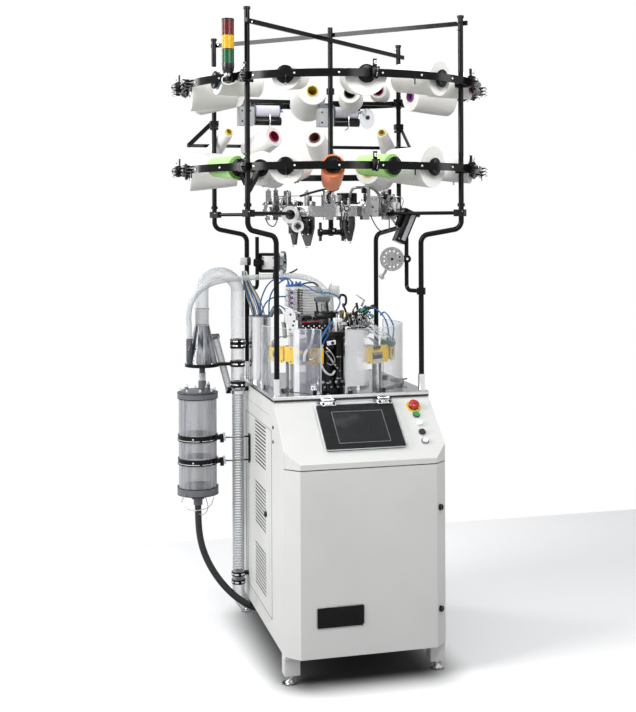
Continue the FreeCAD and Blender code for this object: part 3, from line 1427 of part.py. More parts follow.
def make_suction():
    """Clear riser pipe, bend, separator cone and collecting cylinder on the left side."""
    x, y, radius = mm("pipe_x"), mm("pipe_y"), mm("pipe_radius")
    low, top = mm("pipe_bottom"), mm("pipe_top")
    riser = turned("riser_pipe", [
        (radius - 2.5, low), (radius, low), (radius, top - 30), (radius - 1, top), (radius - 2.5, top),
    ], at(x, y, 0))
    node("suction_pipe", group("suction_pipe", [riser, shaped("outlet_bend", outlet_bend())]))
    bend = mm("elbow_radius")
    centre = Vector(x - bend, y, top)
    neck = Vector(x - 2 * bend, y, mm("cone_top"))
    skins = []
    for r in (radius - 0.5, radius - 3):
        rings = []
        for step in range(ELBOW_FACETS + 1):
            turn = math.pi * step / ELBOW_FACETS
            spot = centre + Vector(bend * math.cos(turn), 0, bend * math.sin(turn))
            ahead = Vector(-math.sin(turn), 0, math.cos(turn))
            rings.append(Part.Wire(Part.makeCircle(r, spot, ahead)))
        rings.append(Part.Wire(Part.makeCircle(r, neck, Vector(0, 0, -1))))
        skins.append(Part.makeLoft(rings, True, True))
    node("suction_elbow", shaped("suction_elbow", skins[0].cut(skins[1])))
    neck_r, wide = mm("neck_radius"), mm("cone_radius")
    shoulder, bottom = mm("cone_neck"), mm("cone_bottom")
    cone = turned("cone_body", [
        (neck_r - 3, mm("cone_top")), (neck_r, mm("cone_top")), (neck_r, shoulder), (wide, bottom),
        (wide + 4, bottom), (wide + 4, bottom - 14), (12, bottom - 14), (12, 1002), (9, 1002),
        (9, bottom - 10), (wide - 3, bottom - 10), (wide - 3, bottom), (neck_r - 3, shoulder),
    ], at(neck.x, y, 0))
    inside = turned("cone_inside", [
        (0, bottom - 10), (wide - 3, bottom - 10), (wide - 3, bottom), (neck_r - 3, shoulder), (0, shoulder),
    ], at(neck.x, y, 0))
    inlet_x, inlet_y, inlet_z = WASTE_ROUTE[0]
    inlet = rod("cone_inlet", 13, inlet_z - bottom - 6, Vector(inlet_x, inlet_y, bottom + 6))
    axis = branch_heading()
    outlet = rod("cone_outlet", BRANCH_STUB, 56, Vector(neck.x, y, BRANCH_TOP) + axis * 28, axis)
    stubs = cut("cone_stubs", fuse("cone_pipes", [inlet, outlet]), [inside])
    node("separator_cone", fuse("separator_cone", [cone, stubs]))
    tube_x = mm("collector_x")
    outer, high, floor = mm("collector_radius"), mm("collector_top"), mm("collector_bottom")
    node("collector_tube", turned("collector_tube", [
        (outer - 4, floor), (outer, floor), (outer, high), (outer - 4, high),
    ], at(tube_x, y, 0)))
    cap = mm("cap_radius")
    lid = turned("collector_lid", [
        (0, high), (outer + 0.5, high), (outer + 0.5, high - 6), (cap, high - 6), (cap, high + 16),
        (cap - 12, high + 16), (cap - 12, high + 24), (0, high + 24),
    ], at(tube_x, y, 0))
    bosses = [
        rod("lid_boss_%d" % number, 7, 18, Vector(tube_x, y, high + 24) + polar(56, angle))
        for number, angle in enumerate((-150, -60, 30))
    ]
    nipple_x = x - 2 * bend
    nipple = rod("lid_nipple", 16, 1000 - high - 20, Vector(nipple_x, y, high + 22))
    nipple_bore = rod("lid_nipple_bore", 12.4, 60, Vector(nipple_x, y, high + 30))
    base = turned("collector_base", [
        (0, floor), (outer + 0.5, floor), (outer + 0.5, floor + 6), (cap + 1, floor + 6),
        (cap + 1, floor - 24),
        (26, floor - 24), (26, floor - 46), (18, floor - 46), (18, floor - 70), (0, floor - 70),
    ], at(tube_x, y, 0))
    top_cap = cut("collector_top_cap", fuse("collector_top_solid", [lid, nipple] + bosses), [nipple_bore])
    node("collector_caps", group("collector_caps", [top_cap, base]))


def make_suction_brackets():
    """Black bands with tightening ears, and the brackets that carry the unit."""
    x, y, radius = mm("pipe_x"), mm("pipe_y"), mm("pipe_radius")
    tube_x, outer = mm("collector_x"), mm("collector_radius")
    side = -mm("cabinet_half")

    def band(cx, r, z, tall):
        ring = Part.makeCylinder(r + 3.5, tall, Vector(cx, y, z)).cut(
            Part.makeCylinder(r, tall + 2, Vector(cx, y, z - 1)))
        ear = Part.makeBox(10, 16, tall - 6, Vector(cx - 5, y - r - 17, z + 3))
        return ring.fuse(ear)

    shapes = []
    for z in (776, 682):
        ring = band(tube_x, outer, z - 12, 24)
        hub_x = tube_x + 70
        arm = Part.makeCylinder(3, side - 5 - hub_x, Vector(hub_x, 151, z), Vector(1, 0, 0))
        lug = Part.makeBox(30, 44, 14, Vector(hub_x - 10, 146, z - 7)).cut(
            Part.makeCylinder(outer, 40, Vector(tube_x, y, z - 20)))
        knob = Part.makeBox(14, 10, 34, Vector(hub_x + 12, 136, z - 17))
        shapes.append(ring.multiFuse([arm, lug, knob]).removeSplitter())
    shapes.append(Part.makeBox(4, 18, 118, Vector(side - 8, 142, 670)))
    shapes[-1] = shapes[-1].fuse(Part.makeBox(4, 12, 100, Vector(side - 4, 145, 679)))
    shapes[0] = shapes[0].multiFuse([shapes[1], shapes[-1]]).removeSplitter()
    shapes = [shapes[0]]
    upright = Vector(-mm("upright_lower_x"), mm("upright_rear_y"), 1142)
    holder = band(x, radius, 1130, 24)
    link = strut(Vector(x, y + radius + 1, 1142), upright, 16, 12)
    wrap = Part.makeCylinder(16, 24, upright - Vector(0, 0, 12))
    tube_hole = Part.makeCylinder(mm("tube_radius"), 60, upright - Vector(0, 0, 30))
    pipe_hole = Part.makeCylinder(radius, 60, Vector(x, y, 1110))
    shapes.append(holder.multiFuse([link, wrap]).cut(tube_hole).cut(pipe_hole).removeSplitter())
    ribbed = RIBBED_OUTER
    joint = band(x, radius, 971, 24).fuse(
        Part.makeBox(side - x - radius - 1, 24, 16, Vector(x + radius + 1, y - 12, 955)))
    low, high = branch_line()
    collar = Part.makeCylinder(BRANCH_RADIUS + 3.5, 22, low + Vector(0, 0, 7)).cut(
        Part.makeCylinder(BRANCH_RADIUS, (high - low).Length, low, high - low))
    joint = joint.fuse(band(x, ribbed, 943, 22)).fuse(collar).cut(
        Part.makeCylinder(ribbed, 60, Vector(x, y, 920))).removeSplitter()
    shapes.append(joint)
    foot = band(x, ribbed, mm("hose_bottom") + 6, 16)
    lug = Part.makeBox(side - x - ribbed - 1, 20, 14, Vector(x + ribbed + 1, y - 10, mm("hose_bottom") + 7))
    shapes.append(foot.fuse(lug))
    shapes.append(band(x, ribbed, mm("hose_bottom") - 26, 16))
    cone_x = x - 2 * mm("elbow_radius")
    cone_ring = Part.makeCylinder(mm("cone_radius") + 8, 12, Vector(cone_x, y, 1061)).cut(
        Part.makeCylinder(mm("cone_radius") + 4, 14, Vector(cone_x, y, 1060)))
    tongue = Part.makeBox(x - radius - cone_x - mm("cone_radius") - 5, 26, 12,
                          Vector(cone_x + mm("cone_radius") + 6, y - 13, 1061))
    pipe_band = band(x, radius, 1055, 24)
    shapes.append(cone_ring.multiFuse([tongue, pipe_band]).cut(
        Part.makeCylinder(radius, 60, Vector(x, y, 1040))).removeSplitter())
    node("suction_brackets", shaped("suction_brackets", Part.makeCompound(shapes)))


RIBBED_OUTER = 25
RIBS = 30

# routes of the hoses, chosen by hand along the photographed lines
DRAIN_ROUTE = [(-509, 200, 501), (-509, 200, 430), (-500, 199, 350), (-478, 196, 282), (-444, 189, 218),
               (-400, 176, 160), (-350, 162, 114), (-300, 152, 84), (-246, 147, 72), (-190, 147, 72)]
WASTE_ROUTE = [(-546, 172, 1176), (-546, 172, 1222), (-550, 168, 1268), (-544, 160, 1314), (-522, 152, 1356),
               (-484, 147, 1388), (-438, 144, 1406), (-388, 142, 1414), (-336, 139, 1418), (-284, 131, 1421),
               (-232, 116, 1424), (-182, 94, 1427), (-134, 68, 1428), (-90, 42, 1421), (-52, 22, 1402),
               (-24, 8, 1374), (-6, 0, 1344), (0, 0, 1314), (0, 0, 1286)]


def make_hoses():
    """Drain, waste, ribbed and air hoses, each along its own route."""
    node("drain_hose", shaped("drain_hose", hose("drain_hose", DRAIN_ROUTE, mm("drain_diameter"))))
    node("waste_hose", shaped("waste_hose", hose("waste_hose", WASTE_ROUTE, mm("waste_hose_diameter"))))
    x, y, low, high = mm("pipe_x"), mm("pipe_y"), mm("hose_bottom"), mm("pipe_bottom")
    pitch = (high - low) / RIBS
    outside = []
    for number in range(RIBS):
        z = low + number * pitch
        outside += [(RIBBED_OUTER, z), (RIBBED_OUTER, z + 0.55 * pitch), (RIBBED_OUTER - 3, z + 0.7 * pitch),
                    (RIBBED_OUTER - 3, z + 0.85 * pitch)]
    bore = RIBBED_OUTER - 5
    profile = [(bore, low)] + outside + [(RIBBED_OUTER, high), (bore, high)]
    ribbed = turned("ribbed_riser", profile, at(x, y, 0))
    node("ribbed_hose", group("ribbed_hose", [ribbed, shaped("branch_hose", branch_hose())]))
    shapes = [hose("air_hose_%d" % number, route, 6) for number, route in enumerate(AIR_ROUTES)]
    node("air_hoses", shaped("air_hoses", Part.makeCompound(shapes)))


AIR_ROUTES = [
    [(118, -24, 1264), (118, -24, 1288), (134, -34, 1306), (162, -50, 1302), (190, -66, 1280),
     (207, -82, 1244), (210, -94, 1206), (206, -100, 1172), (206, -100, 1140)],
    [(-266, 178, 999), (-266, 178, 1052), (-264, 179, 1106), (-260, 177, 1162), (-256, 170, 1218),
     (-252, 158, 1270), (-244, 132, 1314), (-226, 98, 1338), (-203, 60, 1346), (-172.1, 58, 1346)],
]


def check_and_write():
    DOC.recompute()
    for thing in DOC.Objects:
        if "Invalid" in thing.State or "Error" in thing.State:
            raise RuntimeError("failed object: %s %s" % (thing.Name, thing.State))
    os.makedirs("parts", exist_ok=True)
    for name, thing in NODES.items():
        shape = thing.Shape
        if shape.isNull() or not shape.isValid() or not shape.Solids:
            raise RuntimeError("bad shape: " + name)
        shape.exportStep("parts/%s.step" % name)
        print("%s: %d solid(s), %.0f cm3" % (name, len(shape.Solids), shape.Volume / 1000))
    print("nodes:", len(NODES))


fill_sheet()
make_frame()
make_feet()
make_panels()
make_door()
make_console()
make_top_plate()
make_inner_units()
make_terminal()
make_cover()
make_fittings()
make_buttons()
make_uprights()
make_sockets()
make_bars()
make_rings()
make_creel_clamps()
make_yarn()
make_signal_tower()
make_elastic_units()
make_feeders()
make_arms()
make_wheels()
make_cylinder()
make_dial_bracket()
make_lift_handle()
make_valve_block()
make_yarn_fingers()
make_selectors()
make_guards()
make_suction()
make_suction_brackets()
make_hoses()
check_and_write()
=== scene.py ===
"""Looks of a single-cylinder sock knitting machine with its yarn creel and waste suction unit.

Places and sizes are millimetres in the model's frame: the knitting axis stands on the origin,
+Z is up and the operator stands at -Y. MM turns them into Blender's metres.
"""

import math

import bmesh
import bpy
from mathutils import Matrix, Vector


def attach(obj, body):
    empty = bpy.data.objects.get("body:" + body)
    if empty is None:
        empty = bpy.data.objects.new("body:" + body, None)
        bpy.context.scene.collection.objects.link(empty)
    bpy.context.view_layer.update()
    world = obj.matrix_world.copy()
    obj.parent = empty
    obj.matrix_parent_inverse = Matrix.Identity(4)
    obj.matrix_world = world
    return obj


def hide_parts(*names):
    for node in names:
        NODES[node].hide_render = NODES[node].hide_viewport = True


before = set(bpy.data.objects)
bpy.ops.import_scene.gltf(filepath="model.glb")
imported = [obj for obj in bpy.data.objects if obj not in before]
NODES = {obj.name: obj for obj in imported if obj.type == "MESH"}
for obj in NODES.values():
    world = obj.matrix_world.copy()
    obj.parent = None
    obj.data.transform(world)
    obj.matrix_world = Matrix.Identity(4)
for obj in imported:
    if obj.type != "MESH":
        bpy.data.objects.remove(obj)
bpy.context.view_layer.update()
MM = 0.001
UP = Vector((0, 0, 1))


def mm(*point):
    """A point given in millimetres."""
    return Vector(point) * MM


def polar(radius, degrees, height=0.0):
    """The point at a radius and an angle round the knitting axis."""
    turn = math.radians(degrees)
    return Vector((radius * math.cos(turn), radius * math.sin(turn), height))


def place(origin, axis=(0, 0, 1), spin=0.0):
    """The matrix that moves a shape built on +Z to a point in millimetres, along an axis."""
    turn = Vector(axis).normalized().to_track_quat("Z", "Y").to_matrix().to_4x4()
    return Matrix.Translation(mm(*origin)) @ turn @ Matrix.Rotation(math.radians(spin), 4, "Z")


def frame_at(origin, ahead=(1, 0, 0), up=(0, 0, 1)):
    """The matrix whose X axis looks ahead and whose Z axis is as near to up as it can be."""
    x = Vector(ahead).normalized()
    y = Vector(up).cross(x).normalized()
    return Matrix.Translation(mm(*origin)) @ Matrix((x, y, x.cross(y))).transposed().to_4x4()


def shown(name, data):
    """A new object of the scene."""
    made = bpy.data.objects.new(name, data)
    bpy.context.scene.collection.objects.link(made)
    return made


# ---------------------------------------------------------------- materials


class Nodes:
    """Short calls for building a node tree."""

    def __init__(self, tree):
        self.tree = tree

    def feed(self, socket, source):
        """Links a socket to an output, or sets it to a plain value."""
        if isinstance(source, bpy.types.NodeSocket):
            self.tree.links.new(source, socket)
        else:
            socket.default_value = source

    def node(self, kind, **values):
        """A new node, each value fed to the socket of that name or else kept as a setting."""
        made = self.tree.nodes.new("ShaderNode" + kind)
        for key, value in values.items():
            socket = key.replace("_", " ")
            if socket in made.inputs:
                self.feed(made.inputs[socket], value)
            else:
                setattr(made, key, value)
        return made

    def joined(self, made, *sources):
        """Feeds a node's inputs in their order and returns its first output."""
        for socket, source in zip(made.inputs, sources):
            self.feed(socket, source)
        return made.outputs[0]

    def math(self, operation, *sources):
        return self.joined(self.node("Math", operation=operation), *sources)

    def mix_shader(self, factor, first, second):
        return self.joined(self.node("MixShader"), factor, first.outputs[0], second.outputs[0])

    def mix_colour(self, factor, first, second):
        return self.node("Mix", data_type="RGBA", Factor=factor, A=first, B=second).outputs["Result"]


class Finish(Nodes):
    """One Principled material, with short calls for the marks that real surfaces carry."""

    def __init__(self, name, colour, roughness, metallic=0.0, **sockets):
        self.material = bpy.data.materials.new(name)
        self.material.use_nodes = True
        super().__init__(self.material.node_tree)
        self.shader = self.tree.nodes["Principled BSDF"]
        self.colour, self.roughness = colour, roughness
        self.drive(Base_Color=(*colour, 1), Roughness=roughness, Metallic=metallic, **sockets)
        self.place = self.node("TexCoord").outputs["Object"]

    def drive(self, **sockets):
        """Feeds sockets of the Principled shader."""
        for key, source in sockets.items():
            self.feed(self.shader.inputs[key.replace("_", " ")], source)
        return self

    def stretched(self, scale, rotation=(0, 0, 0), source=None):
        """Coordinates scaled by a different amount along each axis."""
        return self.node("Mapping", Scale=scale, Rotation=rotation, Vector=source or self.place).outputs[0]

    def noise(self, scale, detail=3.0, vector=None):
        made = self.node("TexNoise", Scale=scale, Detail=detail, Roughness=0.55, Vector=vector or self.place)
        return made.outputs["Fac"]

    def along(self, axis, source=None):
        """One of the coordinates X, Y and Z, the object's own by default."""
        return self.node("SeparateXYZ", Vector=source or self.place).outputs[axis]

    def ramp(self, source, stops, constant=False):
        made = self.node("ValToRGB", Fac=source)
        if constant:
            made.color_ramp.interpolation = "CONSTANT"
        elements = made.color_ramp.elements
        while len(elements) < len(stops):
            elements.new(1.0)
        for element, (position, colour) in zip(elements, stops):
            element.position = position
            element.color = (*colour, 1)
        return made.outputs["Color"]

    def spread(self, source, low, high, from_low=0.3, from_high=0.7, **settings):
        """Maps the source's range to the one from low to high."""
        return self.node("MapRange", Value=source, From_Min=from_low, From_Max=from_high, To_Min=low,
                         To_Max=high, **settings).outputs["Result"]

    def mottle(self, amount=0.06, scale=9.0, detail=4.0, vector=None):
        """Lets the colour wander a little, as paint, dust and casting skin do."""
        dark = [max(0.0, c * (1 - amount)) for c in self.colour]
        light = [min(1.0, c * (1 + 0.6 * amount) + 0.1 * amount * amount) for c in self.colour]
        source = self.noise(scale, detail, vector)
        return self.drive(Base_Color=self.ramp(source, [(0.3, dark), (0.7, light)]))

    def wear(self, amount=0.1, scale=14.0, vector=None):
        """Lets the roughness wander, so that highlights break up."""
        low, high = max(0.02, self.roughness - amount), self.roughness + amount
        return self.drive(Roughness=self.spread(self.noise(scale, 5.0, vector), low, high))

    def relief(self, height, strength, distance):
        bump = self.node("Bump", Strength=strength, Distance=distance, Height=height)
        return self.drive(Normal=bump.outputs["Normal"])

    def grain(self, scale=700.0, strength=0.15, distance=0.0004, vector=None):
        """Fine relief of orange peel, casting skin or moulded texture."""
        return self.relief(self.noise(scale, 2.0, vector), strength, distance)

    def cover(self, facing, grazing, blend):
        """A weight that grows towards grazing angles, as a thin clear wall's does."""
        weight = self.node("LayerWeight", Blend=blend)
        return self.spread(weight.outputs["Facing"], facing, grazing, 0.0, 1.0)


def paint(name, colour, roughness=0.42, amount=0.03):
    return Finish(name, colour, roughness).mottle(amount, 5.0).wear(0.07, 11.0).grain(900.0, 0.12, 0.0003)


def black_paint(name, colour=(0.004, 0.004, 0.0042), roughness=0.15):
    made = Finish(name, colour, roughness, Specular_IOR_Level=0.15)
    return made.mottle(0.15, 22.0).wear(0.04, 30.0).grain(900.0, 0.04, 0.0002)


def black_plastic(name, colour=(0.004, 0.004, 0.0042), roughness=0.24, gloss=0.16):
    made = Finish(name, colour, roughness, Specular_IOR_Level=gloss)
    return made.mottle(0.15, 60.0).wear(0.06, 60.0).grain(1500.0, 0.08, 0.0002)


def moulded(name, colour, roughness=0.45, amount=0.08):
    return Finish(name, colour, roughness).mottle(amount, 40.0).wear(0.08, 60.0).grain(1800.0, 0.18, 0.0003)


def button(name, colour, roughness=0.3, amount=0.05, coat=0.3):
    return Finish(name, colour, roughness, Coat_Weight=coat).mottle(amount, 60.0)


def bare_metal(name, colour, roughness, grain_scale=(60.0, 60.0, 900.0), strength=0.08):
    made = Finish(name, colour, roughness, 1.0)
    marks = made.stretched(grain_scale)
    made.mottle(0.12, 1.0, 6.0, marks).wear(0.08, 1.0, marks)
    return made.grain(1.0, strength, 0.0003, marks)


def clear(name, colour, roughness, facing, grazing, blend=0.35, gloss=0.6):
    made = Finish(name, colour, roughness, Specular_IOR_Level=gloss).mottle(0.04, 18.0).wear(0.02, 25.0)
    return made.drive(Alpha=made.cover(facing, grazing, blend))


def painted_reflection(name, colour, stops):
    """Painted reflection strip: its cover follows the stops across the strip, from the piece's own UVs, in
    place of the light mirrored by the bowed screen.
    """
    made = Finish(name, colour, 0.25, Specular_IOR_Level=0.3).mottle(0.08, 9.0)
    across = made.along("X", made.node("TexCoord").outputs["UV"])
    return made.drive(Alpha=made.ramp(across, [(spot, (level, level, level)) for spot, level in stops]))


def smoky_with_painted_highlights(name, dark, light, facing, grazing, clear_above=9.0):
    """Smoky moulded plastic with painted highlights as upright light streaks, and clear above a height in
    metres.
    """
    made = Finish(name, dark, 0.07, Specular_IOR_Level=0.6).wear(0.02, 25.0)
    # painted highlights: noise stretched upright lays light streaks on the dark plastic
    marks = made.noise(1.0, vector=made.stretched((34.0, 34.0, 1.2)))
    made.drive(Base_Color=made.ramp(marks, [(0.42, dark), (0.6, light), (0.68, dark)]))
    thinner = made.spread(made.along("Z"), 1.0, 0.3, clear_above - 0.002, clear_above + 0.002)
    return made.drive(Alpha=made.math("MULTIPLY", made.cover(facing, grazing, 0.45), thinner))


def wound(name, colour):
    """Cross-wound yarn: two families of fine helical ridges, from the package's own UVs."""
    made = Finish(name, colour, 0.86, Sheen_Weight=0.35, Sheen_Roughness=0.5)
    uv = made.node("TexCoord").outputs["UV"]
    ridges = []
    for slant in (24.0, -24.0):
        turned = made.stretched((26.0, 46.0, 1.0), (0, 0, math.radians(slant)), uv)
        wave = made.node("TexWave", Scale=2.0, Distortion=1.2, Detail=2.0, Detail_Scale=3.0, Vector=turned)
        ridges.append(wave.outputs["Fac"])
    height = made.math("MULTIPLY_ADD", made.noise(420.0), 0.5, made.math("MAXIMUM", *ridges))
    # painted shade: the colour is a tenth darker in the grooves between the ridges
    made.drive(Base_Color=made.ramp(height, [(0.25, [c * 0.9 for c in colour]), (0.85, colour)]))
    return made.relief(height, 0.35, 0.0006)


LENS_FOOT, LENS_TOP = 2210, 2363


def lens_colours():
    """One moulding with green, yellow and red rings, by height."""
    made = Finish("signal_lens", (0.7, 0.1, 0.05), 0.2, Specular_IOR_Level=0.3)
    level = made.spread(made.along("Z"), 0.0, 1.0, LENS_FOOT * MM, LENS_TOP * MM)
    stops = [(0.0, (0.004, 0.085, 0.025)), (1 / 3, (0.62, 0.36, 0.01)), (2 / 3, (0.11, 0.008, 0.008))]
    made.drive(Base_Color=made.ramp(level, stops, constant=True))
    ribs = made.node("TexWave", Scale=95.0, bands_direction="Z", Vector=made.place)
    return made.relief(ribs.outputs["Fac"], 0.4, 0.0006)


def make_finishes():
    """Every finish by its short name."""
    looks = {
        "cabinet": paint("cabinet_paint", (0.6, 0.605, 0.59)),
        "inner": paint("inner_paint", (0.3, 0.31, 0.33), 0.5, 0.08),
        "motor": Finish("motor_cast", (0.13, 0.135, 0.14), 0.6).mottle(0.2, 30.0).grain(300.0, 0.4, 0.0008),
        "foot": Finish("foot_zinc", (0.52, 0.53, 0.55), 0.28, 1.0).mottle(0.2, 60.0).wear(0.1, 50.0),
        "tube": black_paint("creel_tube"),
        "clamp": black_plastic("clamp_plastic"),
        "chrome": Finish("chrome", (0.9, 0.9, 0.92), 0.2, 1.0).mottle(0.06, 60.0).wear(0.08, 40.0),
        "plate": bare_metal("plate_machined", (0.34, 0.345, 0.35), 0.13, (6.0, 500.0, 500.0), 0.03),
        "steel": bare_metal("steel_turned", (0.42, 0.42, 0.43), 0.17, (40.0, 40.0, 900.0), 0.05),
        "duct": bare_metal("duct_steel", (0.88, 0.88, 0.9), 0.24, (160.0, 160.0, 4.0), 0.03),
        "aluminium": bare_metal("aluminium_milled", (0.42, 0.42, 0.425), 0.24, (300.0, 300.0, 60.0), 0.06),
        "casting": black_plastic("casting_black", (0.005, 0.005, 0.0055), 0.2, 0.3),
        "grey": paint("carrier_paint", (0.23, 0.24, 0.25), 0.4, 0.1),
        "cover": clear("cover_acrylic", (0.3, 0.31, 0.32), 0.03, 0.0, 0.22, 0.25, 0.15),
        "guard": clear("guard_acrylic", (0.45, 0.48, 0.5), 0.03, 0.02, 0.62, 0.22, 0.4),
        "stop": button("stop_red", (0.42, 0.008, 0.008), 0.25, 0.1, 0.2),
        "green": button("button_green", (0.01, 0.26, 0.06), 0.3, 0.1),
        "white": button("button_white", (0.8, 0.8, 0.8)),
        "black": button("button_black", (0.012, 0.012, 0.013), 0.25, 0.3),
        "pale": button("button_pale", (0.68, 0.7, 0.73), 0.25),
        "unit": moulded("unit_plastic", (0.16, 0.165, 0.18), 0.45),
        "elastic": Finish("elastic_winding", (0.78, 0.76, 0.84),
                          0.7).mottle(0.1, 200.0).grain(900.0, 0.5, 0.0006),
        "board": moulded("board_yellow", (0.92, 0.6, 0.004), 0.42, 0.1),
        "valve": moulded("valve_white", (0.7, 0.7, 0.69), 0.4, 0.06),
        "elbow": clear("elbow_plastic", (0.6, 0.63, 0.66), 0.05, 0.14, 0.75, 0.4),
        "clear_tube": clear("riser_tube", (0.62, 0.65, 0.68), 0.04, 0.1, 0.75, 0.35),
        "cap": moulded("cap_grey", (0.11, 0.115, 0.13), 0.35),
        "hose_black": Finish("drain_rubber", (0.008, 0.008, 0.009),
                             0.34).mottle(0.3, 90.0).grain(700.0, 0.2, 0.0005),
        "hose_clear": clear("waste_tube", (0.62, 0.65, 0.67), 0.12, 0.3, 0.9, 0.4),
        "hose_rib": clear("waste_rib", (0.7, 0.72, 0.74), 0.15, 0.6, 1.0, 0.4),
        "hose_grey": clear("ribbed_tube", (0.55, 0.57, 0.59), 0.2, 0.55, 1.0, 0.4),
        "hose_blue": Finish("air_hose_blue", (0.006, 0.1, 0.28), 0.3).mottle(0.15, 80.0),
        "cable_white": moulded("cable_white", (0.72, 0.72, 0.72), 0.4),
        "cable_grey": moulded("cable_grey", (0.2, 0.2, 0.21), 0.4),
        "cable_black": moulded("cable_black", (0.01, 0.01, 0.011), 0.4),
        "wire": Finish("wire_steel", (0.5, 0.5, 0.52), 0.22, 1.0).wear(0.08, 90.0),
        "yarn_white": wound("yarn_white", (0.84, 0.83, 0.8)),
        "yarn_green": wound("yarn_green", (0.36, 0.72, 0.2)),
        "yarn_orange": wound("yarn_orange", (0.96, 0.24, 0.07)),
        "lens": lens_colours(),
        "display": Finish("display_glass", (0.006, 0.007, 0.008), 0.1,
                          Specular_IOR_Level=0.06).mottle(0.2, 4.0),
        "bezel": moulded("display_bezel", (0.006, 0.006, 0.007), 0.3),
        "screw": Finish("screw_steel", (0.45, 0.45, 0.46), 0.25, 1.0).mottle(0.2, 300.0),
        "blue": moulded("fitting_blue", (0.02, 0.12, 0.4), 0.35),
        "teal": moulded("trim_teal", (0.03, 0.32, 0.3), 0.4),
        "red": moulded("trim_red", (0.5, 0.02, 0.03), 0.4),
        "purple": moulded("trim_purple", (0.22, 0.05, 0.3), 0.4),
        # painted highlight along the working plate's milled edge
        "painted_edge_highlight": bare_metal("plate_milled_edge_painted_highlight", (0.82, 0.82, 0.83), 0.3, (30.0, 30.0, 500.0), 0.05),
        "brass": Finish("fitting_brass", (0.5, 0.36, 0.13), 0.28, 1.0).mottle(0.15, 120.0).wear(0.08, 90.0),
        "dark_green": moulded("trim_dark_green", (0.01, 0.09, 0.05), 0.35),
        "cable_cream": moulded("cable_cream", (0.62, 0.58, 0.45), 0.45),
        # painted reflections of the bowed screens: bright and grey strips
        "painted_reflection_narrow": painted_reflection("painted_reflection_narrow", (0.86, 0.87, 0.9), [(0.0, 0.5), (0.3, 0.85), (1.0, 0.7)]),
        "painted_reflection_grey": painted_reflection("painted_reflection_grey", (0.33, 0.33, 0.41), [(0.0, 0.6), (0.6, 0.5), (1.0, 0.36)]),
        "painted_reflection_wide": painted_reflection("painted_reflection_wide", (0.8, 0.8, 0.81),
                          [(0.0, 0.9), (0.46, 0.84), (0.62, 0.24), (1.0, 0.0)]),
        "edge": clear("clear_edge", (0.72, 0.78, 0.8), 0.08, 0.35, 0.95, 0.4),
        "chute": clear("chute_acrylic", (0.7, 0.74, 0.77), 0.06, 0.12, 0.8, 0.35),
        "cast_grey": bare_metal("cast_bracket", (0.25, 0.25, 0.26), 0.28, (160.0, 160.0, 160.0), 0.12),
        "pale_grey": moulded("case_pale_grey", (0.42, 0.43, 0.45), 0.42),
        "lilac": moulded("knob_lilac", (0.5, 0.5, 0.6), 0.4),
        "hose_wall": clear("ribbed_wall", (0.5, 0.53, 0.56), 0.1, 0.12, 0.8, 0.35),
        "hose_rings": clear("ribbed_rings", (0.5, 0.53, 0.56), 0.1, 0.16, 1.0, 0.35),
        # smoky plastic with painted upright highlight streaks
        "smoky_with_painted_highlights": smoky_with_painted_highlights("cone_smoked", (0.05, 0.055, 0.065), (0.4, 0.42, 0.46), 0.72, 0.97, 1.226),
        "collector": smoky_with_painted_highlights("collector_clear", (0.26, 0.27, 0.29), (0.5, 0.51, 0.54), 0.36, 0.9),
        "gloss_black": black_plastic("terminal_gloss", (0.003, 0.003, 0.0032), 0.12, 0.05),
        "plate_black": Finish("bare_plate", (0.006, 0.006, 0.0065), 0.22,
                              Specular_IOR_Level=0.12).mottle(0.15, 30.0).wear(0.05, 40.0),
        "line": moulded("display_line", (0.22, 0.23, 0.24), 0.3),
        "gap": moulded("seam_shadow", (0.12, 0.12, 0.12), 0.7),
        "stop_dark": moulded("stop_arrow", (0.22, 0.008, 0.008), 0.4),
        "stop_yellow": moulded("stop_collar", (0.62, 0.46, 0.03), 0.35),
        "flange_blue": moulded("flange_blue", (0.12, 0.2, 0.48), 0.35),
        "cover_disc": clear("disc_acrylic", (0.6, 0.63, 0.68), 0.06, 0.25, 0.85, 0.35),
    }
    for name, colour in CORE_COLOURS.items():
        looks["core_" + name] = moulded("core_" + name, colour, 0.4)
    return {name: made.material for name, made in looks.items()}


CORE_COLOURS = {
    "white": (0.7, 0.7, 0.68),
    "yellow": (0.66, 0.5, 0.06),
    "teal": (0.05, 0.4, 0.4),
    "crimson": (0.3, 0.01, 0.05),
    "brown": (0.16, 0.05, 0.03),
    "purple": (0.2, 0.05, 0.22),
    "blue": (0.05, 0.1, 0.4),
    "black": (0.01, 0.01, 0.011),
}
LOOK = make_finishes()

